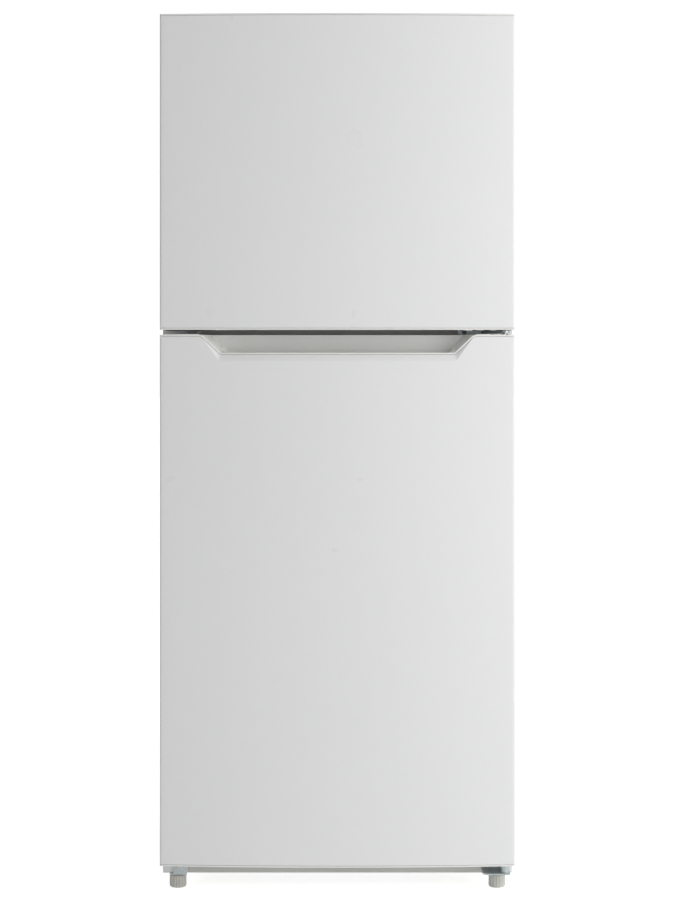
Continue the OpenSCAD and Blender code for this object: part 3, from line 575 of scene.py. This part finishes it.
def skin_piece(name, node, body, z, pocket):
    """Painted sheet of one door: front, corners, sides and back folds, and the pocket's flare if wanted."""
    z = [z[0] + CAP_EDGE + GROOVE, z[1] - CAP_EDGE - GROOVE]
    side = right_side(1.5 * MM) + [Station(HALF_W - FOLD_W, DOOR_BACK, 0, 1)]
    levels = spread(z[0], z[1] - 60 * MM, 90 * MM)
    flare_steps = (0, 0.06, 0.14, 0.26, 0.45, 0.7, 1)
    rows = []
    for station in mirrored(side) + front(front_xs()) + side:
        top, flare_z, setback = z[1], z[1] - 1 * MM, 0.0
        if station.front and pocket:
            x, top, setback = rim_point(station.x, CAP_EDGE + GROOVE)
            station = front([x])[0]
            drop, _ = soft_ramp(abs(x), *FLARE, FLARE_DROP, FLARE_BLENDS)
            flare_z = min(SEAM_Z - FLARE_DROP + drop, top - 0.35 * MM)
        row = [(*station.inset(1.6 * MM), z[0] + 0.1 * MM), (*station.inset(0.25 * MM), z[0])]
        row += [(station.x, station.y, z[0] + 0.3 * MM)]
        row += [(station.x, station.y, level) for level in levels[1:]]
        row += [(station.x, station.y, flare_z - gap) for gap in (4 * MM, 1 * MM)]
        for step in flare_steps:
            ease = (step - 0.08 * (1 - math.exp(-step / 0.08))) / 0.92
            row.append((*station.inset(setback * ease), lerp(flare_z, top - 0.3 * MM, step)))
        row.append((*station.inset(setback + 0.25 * MM), top))
        row.append((*station.inset(setback + 1.6 * MM), top - 0.1 * MM))
        rows.append(row)
    shape = Shape()
    shape.add_grid(rows)
    piece = shape.build(name, body, FINISH["door_paint"], replaces=node, slot="door_paint",
                        smooth=24, open_sheet=(0, -1, 0))
    thicken(piece, SHEET)
    return piece


# ---- plastic door ends ----

RIM = ((3.0, 1.4), (2.8, 0.9), (2.8, 0.35), (2.6, 0.08), (2.3, 0.0), (0.9, 0.0), (0.4, 0.2), (0.12, 0.6),
       (0.0, 1.2))


def plain_deck(x, y_start, count):
    """Flat outer face between the front rim and the back rim."""
    return [(lerp(y_start, DOOR_BACK - 1.2 * MM, k / (count - 1)), 0.0) for k in range(1, count - 1)]


def pocket_deck(x, y_start, count):
    """Section through the finger pocket: rim, lip or side wall, trench, back wall and deck."""
    z_edge = mouth(x)[0]
    depth = POCKET_BACK - y_start
    room = SEAM_Z - z_edge
    slant = math.cos(math.atan(MOUTH_H / (MOUTH[1] - MOUTH[0])))
    edge = min(1.2 * MM, room * 0.4)
    reach = min(WALL_REACH, (room - edge) * slant)
    wall = []
    for k in range(14):
        d = reach * k / 13
        wall.append((y_start + depth * (1 - (1 - d / WALL_REACH) ** 1.5), z_edge + d / slant))
    lip = LIP_BACK
    trench = [
        (y_start, LIP_Z), (lip - 2 * MM, LIP_Z), (lip - 0.7 * MM, LIP_Z - 0.3 * MM), (lip, LIP_Z - 1.6 * MM),
        (lip, LIP_Z - 8 * MM), (lip, TRENCH_Z + 4 * MM), (lip + 1 * MM, TRENCH_Z + 1.2 * MM),
        (lip + 4 * MM, TRENCH_Z), (lerp(lip, POCKET_BACK, 0.5), TRENCH_Z), (POCKET_BACK - 4 * MM, TRENCH_Z),
        (POCKET_BACK - 1 * MM, TRENCH_Z + 1.2 * MM), (POCKET_BACK, TRENCH_Z + 4 * MM),
        (POCKET_BACK, LIP_Z - 6 * MM), (POCKET_BACK, LIP_Z + 4 * MM)]
    share = smooth_step(MOUTH[0] - 1 * MM - abs(x), 0, 16 * MM)
    points = [(lerp(a[0], b[0], share), lerp(a[1], b[1], share)) for a, b in zip(wall, trench)]
    y_top = points[-1][0]
    points += [(y_top, SEAM_Z - edge), (y_top + edge * 0.3, SEAM_Z - edge * 0.3), (y_top + edge, SEAM_Z)]
    rest = count - 2 - len(points)
    for k in range(rest):
        points.append((lerp(y_top + edge, DOOR_BACK - 1.2 * MM, (k + 1) / (rest + 1)), SEAM_Z))
    return [(y, SEAM_Z - z) for y, z in points]


GRIP_X = 203 * MM
GRIP_FRONT = FRONT_Y + DOOR_BOW + 1 * MM
GRIP_DEPTH = 22 * MM


def grip_deck(x, y_start, count):
    """Section through the upward finger recess in the upper door's lower end."""
    open_share = smooth_step(GRIP_X - abs(x), 0, 14 * MM)
    depth = GRIP_DEPTH * open_share
    r = 1.5 * MM * open_share
    points = [(GRIP_FRONT - r, 0), (GRIP_FRONT - r * 0.3, r * 0.3), (GRIP_FRONT, r),
              (GRIP_FRONT, depth * 0.5), (GRIP_FRONT, depth - r * 2),
              (GRIP_FRONT + r * 0.6, depth - r * 0.6), (GRIP_FRONT + r * 2, depth),
              (lerp(GRIP_FRONT, POCKET_BACK, 0.5), depth), (POCKET_BACK - r * 2, depth),
              (POCKET_BACK - r * 0.6, depth - r * 0.6), (POCKET_BACK, depth - r * 2),
              (POCKET_BACK, depth * 0.5),
              (POCKET_BACK, r), (POCKET_BACK + r * 0.3, r * 0.3), (POCKET_BACK + r, 0)]
    rest = count - 2 - len(points)
    for k in range(rest):
        points.append((lerp(POCKET_BACK + r, DOOR_BACK - 1.2 * MM, (k + 1) / (rest + 1)), 0))
    return points


def cap_piece(name, node, body, z_out, up, deck, pocket=False):
    """Moulded end of a door: a rim that follows the door's outline round a deck. up is +1 for a top end."""
    xs = front_xs() if pocket else sorted({*spread(-BOW_END, BOW_END, 10 * MM),
                                           *spread(-GRIP_X - 2 * MM, 16 * MM - GRIP_X, 1.5 * MM),
                                           *spread(GRIP_X - 16 * MM, GRIP_X + 2 * MM, 1.5 * MM)})
    side = right_side(1.5 * MM)
    faces_front = front(xs)
    back = [Station(x, DOOR_BACK, 0, 1) for x in reversed(xs)]
    loop = mirrored(side) + faces_front + side + back
    rings = []
    for station in loop:
        ring = []
        for distance, inset in RIM:
            x, z, place, setback = None, z_out - up * distance * MM, station, 0.0
            if station.front and pocket:
                x, z, setback = rim_point(station.x, distance * MM)
                place = front([x])[0]
            ring.append((*place.inset(setback + inset * MM), z))
        rings.append(ring)
    shape = Shape()
    shape.add_grid(rings, closed=True)
    count = 26
    first = len(side)
    columns = []
    for i, station in enumerate(faces_front):
        start = rings[first + i][-1]
        end = rings[len(loop) - 1 - i][-1]
        column = [start]
        for k, (y, d) in enumerate(deck(station.x, start[1], count)):
            column.append((lerp(start[0], end[0], (k + 1) / (count - 1)), y, z_out - up * d))
        columns.append(column + [end])
    shape.add_grid(columns)
    right = rings[first + len(xs):first + len(xs) + len(side)]
    shape.add_face([ring[-1] for ring in right] + [p for p in reversed(columns[-1])])
    shape.add_face([ring[-1] for ring in rings[:first]] + list(columns[0]))
    piece = shape.build(name, body, FINISH["cap_plastic"], replaces=node, slot="cap_plastic",
                        smooth=32, open_sheet=(0, 0, up))
    thicken(piece, 1.3 * MM)
    return piece


def turned_piece(name, profile, at, body, finish_name, axis="z", steps=32, **options):
    """One turned solid, its profile given in millimetres."""
    shape = Shape()
    shape.add_turned([(r * MM, h * MM) for r, h in profile], at, axis, steps)
    return shape.build(name, body, FINISH[finish_name], slot=finish_name, **options)


PIN_HOLE = 4.15 * MM
RECESS_LO = Vector((PIN_X - 29 * MM, PIN_Y - 19 * MM, TOP_Z - 12.5 * MM))
RECESS_HI = Vector((HALF_W + 1 * MM, DOOR_BACK + 1 * MM, TOP_Z + 1 * MM))
CABINET_TOP = cabinet_hi.z


def pin_bush(cap, name, body, z_face, into):
    """Bushed hole for a hinge pin through a door's end; into is the way into the door, +1 or -1."""
    reach = Vector((5 * MM, 5 * MM, 5 * MM))
    centre = Vector((PIN_X, PIN_Y, z_face))
    notch(cap, centre - reach, centre + reach, 32)
    bore, length = PIN_HOLE / MM, 13
    profile = [(bore + 0.4, 0.1), (7.4, 0.1), (7.8, 0.5), (7.8, length), (bore, length), (bore, 0.5)]
    closed = [(r, h * into) for r, h in profile + profile[:1]]
    turned_piece(name, closed, (PIN_X, PIN_Y, z_face), body, "cap_plastic")


def back_skirt(name, body, z_face, into, x_end):
    """Strip of the door's moulded end that closes the back between its rim and the liner's sheet."""
    shape = Shape()
    z = sorted((z_face + into * 2.9 * MM, z_face + into * 17 * MM))
    shape.add_box((12.4 * MM - HALF_W, DOOR_BACK - 1.25 * MM, z[0]), (x_end, DOOR_BACK - 0.2 * MM, z[1]))
    shape.build(name, body, FINISH["cap_plastic"], slot="cap_plastic")


def hinge_recess(skin, cap):
    """Notch at the upper door's top right corner that the top hinge's arm swings over."""
    notch(skin, RECESS_LO, RECESS_HI, 24)
    notch(cap, RECESS_LO, RECESS_HI, 32)
    wall = 1.3 * MM
    inner = (HALF_W - 1 * MM, DOOR_BACK - 1.3 * MM)
    low = RECESS_LO - Vector((wall, wall, wall))
    top = TOP_Z - 2.7 * MM
    floor = Shape()
    floor.add_box(low, (inner[0], inner[1], RECESS_LO.z))
    made = floor.build("hinge_recess_floor", "freezer_door", FINISH["cap_plastic"], slot="cap_plastic")
    hole = 5 * MM
    carve(made, (PIN_X - hole, PIN_Y - hole, low.z - MM), (PIN_X + hole, PIN_Y + hole, RECESS_LO.z + MM))
    walls = Shape()
    walls.add_box((low.x, low.y, RECESS_LO.z + 0.05 * MM), (RECESS_LO.x, inner[1], top))
    walls.add_box((RECESS_LO.x + 0.05 * MM, low.y, RECESS_LO.z + 0.05 * MM), (inner[0], RECESS_LO.y, top))
    walls.build("hinge_recess_walls", "freezer_door", FINISH["cap_plastic"], slot="cap_plastic")
    bore = PIN_HOLE / MM
    rise = (CABINET_TOP - low.z) / MM
    profile = [(bore, 0), (9, 0), (9, rise - 0.5), (8.5, rise), (bore + 0.4, rise), (bore, rise - 0.4)]
    profile.append((bore, 0))
    turned_piece("upper_pin_bush", profile, (PIN_X, PIN_Y, low.z), "freezer_door", "cap_plastic")


UPPER, LOWER = "freezer_door", "fridge_door"
upper_skin = skin_piece("upper_skin_sheet", "freezer_door_skin", UPPER, (UPPER_Z, TOP_Z), pocket=False)
skin_piece("lower_skin_sheet", "fridge_door_skin", LOWER, (LOWER_Z, SEAM_Z), pocket=True)
upper_top = cap_piece("upper_door_top_end", "freezer_door_top_cap", UPPER, TOP_Z, 1, plain_deck)
upper_low = cap_piece("upper_door_bottom_end", "freezer_door_bottom_cap", UPPER, UPPER_Z, -1, grip_deck)
lower_top = cap_piece("lower_door_top_end", "fridge_door_top_cap", LOWER, SEAM_Z, 1, pocket_deck, pocket=True)
lower_low = cap_piece("lower_door_bottom_end", "fridge_door_bottom_cap", LOWER, LOWER_Z, -1, plain_deck)
hinge_recess(upper_skin, upper_top)
pin_bush(upper_low, "upper_door_low_bush", "freezer_door", UPPER_Z, 1)
pin_bush(lower_top, "lower_door_top_bush", "fridge_door", SEAM_Z, -1)
pin_bush(lower_low, "lower_door_low_bush", "fridge_door", LOWER_Z, 1)
SKIRT_END = HALF_W - 12.4 * MM
back_skirt("upper_door_top_skirt", "freezer_door", TOP_Z, -1, RECESS_LO.x - 1.5 * MM)
back_skirt("upper_door_low_skirt", "freezer_door", UPPER_Z, 1, SKIRT_END)
back_skirt("lower_door_top_skirt", "fridge_door", SEAM_Z, -1, SKIRT_END)
back_skirt("lower_door_low_skirt", "fridge_door", LOWER_Z, 1, SKIRT_END)

# ---- levelling feet ----

FLUTES = 16
FOOT_R = 14.5 * MM


def flute(angle, height):
    """Narrow grooves round the moulded foot between rounded ribs."""
    if not 3.4 * MM < height < 20 * MM:
        return 1
    turn = (angle * FLUTES / (2 * math.pi)) % 1
    off_rib = 2 * min(turn, 1 - turn)
    return 1 - 0.02 * off_rib ** 2 - 0.07 * math.exp(-((1 - off_rib) / 0.26) ** 2)


def screw_thread(low, high, radius, pitch=1.5):
    """Profile of a threaded stud in millimetres, as rings of crests and roots."""
    rows = []
    for i in range(int((high - low) / pitch)):
        z = low + i * pitch
        rows += [(radius - 0.55, z), (radius, z + pitch * 0.35), (radius, z + pitch * 0.6)]
    return rows + [(radius - 0.6, high - 0.3), (radius - 1, high), (0, high)]


def levelling_foot(side):
    """Fluted moulded foot with its threaded stud, in place of a CAD foot."""
    node = f"foot_{side}"
    lo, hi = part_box(node)
    at = ((lo.x + hi.x) / 2, (lo.y + hi.y) / 2, lo.z)
    top = (hi.z - lo.z) / MM
    body_top = 21.5
    profile = [(0, 1.4), (8.6, 1.4), (9.4, 0.3), (10, 0), (11, 0), (12.4, 0.5), (13.4, 1.5), (14.1, 3),
               (14.35, 3.8), (14.5, 5), (14.5, 9), (14.45, 14), (14.35, 18), (14.25, 19.6), (14.0, 20.6),
               (13.4, 21.2), (12.4, 21.5), (5.5, 21.5), (4, 21.5), (0, body_top)]
    shape = Shape()
    shape.add_turned([(r * MM, z * MM) for r, z in profile], at, steps=FLUTES * 9, ripple=flute)
    shape.build(f"{node}_moulding", body_of(node), FINISH["foot_plastic"], replaces=node,
                slot="foot_plastic", smooth=40)
    stud = Shape()
    rows = [(0, body_top + 0.05), (3.4, body_top + 0.05)] + screw_thread(body_top + 0.4, top, 4)
    stud.add_turned([(r * MM, z * MM) for r, z in rows], at, steps=24)
    stud.build(f"{node}_stud", body_of(node), FINISH["zinc_steel"], slot="foot_plastic", smooth=30)


for side in ("left", "right"):
    levelling_foot(side)

# ---- magnetic door seals ----


def seal(name, node, body):
    """Seal of one solid section, with a dart foot, a narrow neck and a rounded bulb, swept round the door."""
    lo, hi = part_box(node)
    depth = (hi.y - lo.y) / MM
    section = [(8.6, 0), (9.6, 0.4), (9.8, 1.6), (9.2, 2.6), (8.2, 3.1), (7.6, 3.9), (8.2, 4.8), (9.6, 5.6),
               (11.2, depth - 3.4), (11.9, depth - 2.6), (12, depth - 1.2), (11.3, depth - 0.2),
               (10.4, depth),
               (1.6, depth), (0.7, depth - 0.2), (0, depth - 1.2), (0.1, depth - 2.6), (0.8, depth - 3.4),
               (2.4, 5.6), (3.8, 4.8), (4.4, 3.9), (3.8, 3.1), (2.8, 2.6), (2.2, 1.6), (2.4, 0.4), (3.4, 0)]
    section = [(inset, min(out, depth)) for inset, out in section]
    corners = ((1, 1), (1, -1), (-1, -1), (-1, 1))
    shape = Shape()
    rows = []
    for sx, sz in corners:
        mid = ((lo.x + hi.x) / 2, (lo.z + hi.z) / 2)
        half = ((hi.x - lo.x) / 2, (hi.z - lo.z) / 2)
        row = []
        for inset, out in section + section[:1]:
            x = mid[0] + sx * (half[0] - inset * MM)
            z = mid[1] + sz * (half[1] - inset * MM)
            row.append((x, lo.y + out * MM, z))
        rows.append(row)
    shape.add_grid(rows, closed=True)
    return shape.build(name, body, FINISH["gasket_rubber"], replaces=node, slot="gasket_rubber", smooth=50)


seal("upper_door_seal", "freezer_door_gasket", "freezer_door")
seal("lower_door_seal", "fridge_door_gasket", "fridge_door")

# ---- pressed and turned steel ----


def compressor_shell():
    """Deep-drawn can with a seam below its dome, on a foot plate with four square fixing holes."""
    node = "compressor"
    lo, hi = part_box(node)
    centre = Vector(((lo.x + hi.x) / 2, (lo.y + hi.y) / 2, lo.z))
    profile = [(0, 3.2), (50, 3.2), (60, 7), (67, 13), (71, 22), (71.8, 30), (71.8, 62), (71.9, 66),
               (71.9, 69),
               (71.2, 69.4), (71.2, 71.6), (70.4, 72), (70.2, 84), (68, 95), (62, 106), (52, 114),
               (36, 119.4),
               (18, 121.6), (0, 122.2)]
    top = (hi.z - lo.z) / MM
    profile = [(r, min(z, top)) for r, z in profile]
    shape = Shape()
    shape.add_turned([(r * MM, z * MM) for r, z in profile], centre, steps=72)
    shape.build("compressor_can", body_of(node), FINISH["black_paint"], replaces=node,
                slot="black_paint", smooth=32)
    plate = Shape()
    half_x = (hi.x - lo.x) / 2
    half_y = 60 * MM
    plate.add_box((centre.x - half_x, centre.y - half_y, lo.z),
                  (centre.x + half_x, centre.y + half_y, lo.z + 3.1 * MM))
    made = plate.build("compressor_foot_plate", body_of(node), FINISH["black_paint"], slot="black_paint")
    for x in (-76, 76):
        for y in (-48, 48):
            hole = (centre.x + x * MM, centre.y + y * MM)
            half = 4.6 * MM
            carve(made, (hole[0] - half, hole[1] - half, lo.z - MM), (hole[0] + half, hole[1] + half, hi.z))
    round_edges(made, 1.2 * MM)


def rear_sheet():
    """Back sheet with shallow upright stiffening beads pressed inwards."""
    node = "rear_panel"
    lo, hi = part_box(node)
    beads = [-0.2, -0.1, 0.0, 0.1, 0.2]

    def depth(x, z):
        near = min(abs(x - bead) for bead in beads)
        ends = min(smooth_step(z, lo.z + 60 * MM, lo.z + 85 * MM), smooth_step(hi.z - z, 60 * MM, 85 * MM))
        return 0.58 * MM * (1 - smooth_step(near, 3 * MM, 6 * MM)) * ends

    xs = sorted({*spread(lo.x, hi.x, 25 * MM), *[bead + d * MM for bead in beads for d in range(-10, 11, 2)]})
    zs = sorted({*spread(lo.z, hi.z, 90 * MM), *spread(lo.z + 55 * MM, lo.z + 90 * MM, 5 * MM),
                 *spread(hi.z - 90 * MM, hi.z - 55 * MM, 5 * MM)})
    shape = Shape()
    shape.add_grid([[(x, hi.y - depth(x, z), z) for x in xs] for z in zs])
    sheet = shape.build("back_sheet", body_of(node), FINISH["rear_sheet"], replaces=node, slot="rear_sheet",
                        smooth=40, open_sheet=(0, 1, 0))
    thicken(sheet, 0.2 * MM)


compressor_shell()
rear_sheet()

# ---- moulded trays ----


def moulded_tray(name, node, finish_name, wall, floor_t, radius, lip=0.0, low_front=0.0):
    """Open tray with rounded, slightly tapered walls and a rolled lip, filling a CAD node's box.

    low_front lowers the wall on the -Y side by that share of the height."""
    lo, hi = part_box(node)
    height = hi.z - lo.z
    mid = ((lo.x + hi.x) / 2, (lo.y + hi.y) / 2)
    half = ((hi.x - lo.x) / 2, (hi.y - lo.y) / 2)
    taper = 2.2 * MM

    def outline(inset, r):
        points = []
        for sx, sy, start in ((1, -1, -90), (1, 1, 0), (-1, 1, 90), (-1, -1, 180)):
            for k in range(7):
                a = math.radians(start + 90 * k / 6)
                points.append((mid[0] + sx * (half[0] - inset - r) + r * math.cos(a),
                               mid[1] + sy * (half[1] - inset - r) + r * math.sin(a)))
        return points

    def top_at(y):
        if not low_front:
            return hi.z
        return hi.z - height * low_front * (1 - smooth_step(y, lo.y + 3 * MM, lo.y + 24 * MM))

    levels = [(taper + 5 * MM, 0.0), (taper + 1.2 * MM, 1.2 * MM), (taper, 5 * MM), (lip + 0.4 * MM, None),
              (lip, None), (0.0, None), (0.0, "edge"), (0.6 * MM, "crown"), (wall + lip, "crown"),
              (wall + lip + 0.4 * MM, "edge"), (wall + taper, 5 * MM + floor_t),
              (wall + taper + 1.4 * MM, floor_t + 1.4 * MM),
              (wall + taper + 5 * MM, floor_t)]
    offsets = {3: 7.0, 4: 6.2, 5: 6.0}
    rings = []
    for index, (inset, level) in enumerate(levels):
        r = max(1.5 * MM, radius - inset)
        ring = []
        for x, y in outline(inset, r):
            top = top_at(y)
            if level is None:
                z = top - offsets[index] * MM
            elif level == "edge":
                z = top - 0.7 * MM
            elif level == "crown":
                z = top
            else:
                z = lo.z + level
            ring.append((x, y, z))
        rings.append(ring + ring[:1])
    shape = Shape()
    shape.add_grid(rings)
    shape.add_face(list(reversed(rings[0][:-1])))
    shape.add_face(rings[-1][:-1])
    return shape.build(name, body_of(node), FINISH[finish_name], replaces=node, slot=finish_name, smooth=38)


moulded_tray("drip_tray_moulding", "drip_tray", "black_plastic", 2 * MM, 2 * MM, 14 * MM, 2 * MM)
BINS = ("freezer_bin_upper", "freezer_bin_lower", "fridge_bin_upper", "fridge_bin_middle", "fridge_bin_lower")
for bin_node in BINS:
    moulded_tray(f"{bin_node}_moulding", bin_node, "clear_plastic", 2.5 * MM, 3 * MM, 12 * MM, 1.6 * MM, 0.4)
for crisper_node in ("crisper_left", "crisper_right"):
    moulded_tray(f"{crisper_node}_moulding", crisper_node, "clear_plastic", 2.5 * MM, 3 * MM, 10 * MM, 2 * MM)

# ---- everything else keeps its CAD shape ----

for node, entry in frame["nodes"].items():
    slot_name = [s["material_slot"] for s in frame["record"]["subparts"] if s["node"] == node][0]
    if not entry.hide_render:
        polish(node, FINISH[slot_name])

# ---- floor, light and camera ----


def stage_floor():
    """Wide white studio floor that glows a little, so that it stays pale to the horizon."""
    made = finish("floor_paper", (0.9, 0.9, 0.9), (0.88, 0.88, 0.88), 0.8, relief=((500, 0.00002),), patch=3,
                  Emission_Color=(1, 1, 1, 1), Emission_Strength=0.7)
    nodes = made.node_tree.nodes
    strength = nodes.new("ShaderNodeMapRange")
    strength.inputs["To Min"].default_value = 0.32
    strength.inputs["To Max"].default_value = 0.75
    links = made.node_tree.links
    links.new(nodes.new("ShaderNodeLightPath").outputs["Is Camera Ray"], strength.inputs["Value"])
    links.new(strength.outputs["Result"], nodes["Principled BSDF"].inputs["Emission Strength"])
    mesh = bpy.data.meshes.new("floor")
    size = 40
    corners = [(-size, -size, 0), (size, -size, 0), (size, size, 0), (-size, size, 0)]
    mesh.from_pydata(corners, [], [(0, 1, 2, 3)])
    mesh.materials.append(made)
    floor = bpy.data.objects.new("floor", mesh)
    bpy.context.scene.collection.objects.link(floor)


def area_light(name, place, target, size, power):
    data = bpy.data.lights.new(name, "AREA")
    data.shape = "RECTANGLE"
    data.size, data.size_y = size
    data.energy = power
    light = bpy.data.objects.new(name, data)
    light.location = place
    light.rotation_euler = (Vector(target) - Vector(place)).to_track_quat("-Z", "Y").to_euler()
    bpy.context.scene.collection.objects.link(light)


def sky(left, right, seen):
    """Soft surroundings, brighter on the right than on the left, and white where the camera sees them."""
    world = bpy.data.worlds.new("surroundings")
    bpy.context.scene.world = world
    world.use_nodes = True
    tree = world.node_tree
    tree.nodes.clear()
    coords = tree.nodes.new("ShaderNodeTexCoord")
    axes = tree.nodes.new("ShaderNodeSeparateXYZ")
    tree.links.new(coords.outputs["Generated"], axes.inputs["Vector"])
    drift = tree.nodes.new("ShaderNodeMapRange")
    for key, value in (("From Min", -1), ("From Max", 1), ("To Min", left), ("To Max", right)):
        drift.inputs[key].default_value = value
    tree.links.new(axes.outputs["X"], drift.inputs["Value"])
    path = tree.nodes.new("ShaderNodeLightPath")
    strength = tree.nodes.new("ShaderNodeMapRange")
    strength.inputs["To Max"].default_value = seen
    tree.links.new(drift.outputs["Result"], strength.inputs["To Min"])
    tree.links.new(path.outputs["Is Camera Ray"], strength.inputs["Value"])
    background = tree.nodes.new("ShaderNodeBackground")
    background.inputs["Color"].default_value = (1, 1, 1, 1)
    tree.links.new(strength.outputs["Result"], background.inputs["Strength"])
    output = tree.nodes.new("ShaderNodeOutputWorld")
    tree.links.new(background.outputs["Background"], output.inputs["Surface"])


def camera():
    data = bpy.data.cameras.new("camera")
    data.lens = 93.43
    data.sensor_width = 36
    data.shift_y = -0.111
    made = bpy.data.objects.new("camera", data)
    made.location = (0, FRONT_Y + DOOR_BOW - 3.94, 0.9203)
    made.rotation_euler = (math.pi / 2, 0, 0)
    bpy.context.scene.collection.objects.link(made)
    bpy.context.scene.camera = made


stage_floor()
middle = (0, 0, (cad_lo.z + cad_hi.z) / 2)
area_light("key", (1.35, -1.2, 1.15), (0.05, -0.33, 0.85), (0.7, 2.2), 14.3)
sky(0.08, 0.86, 1.05)
camera()
bpy.context.scene.view_settings.view_transform = "Standard"
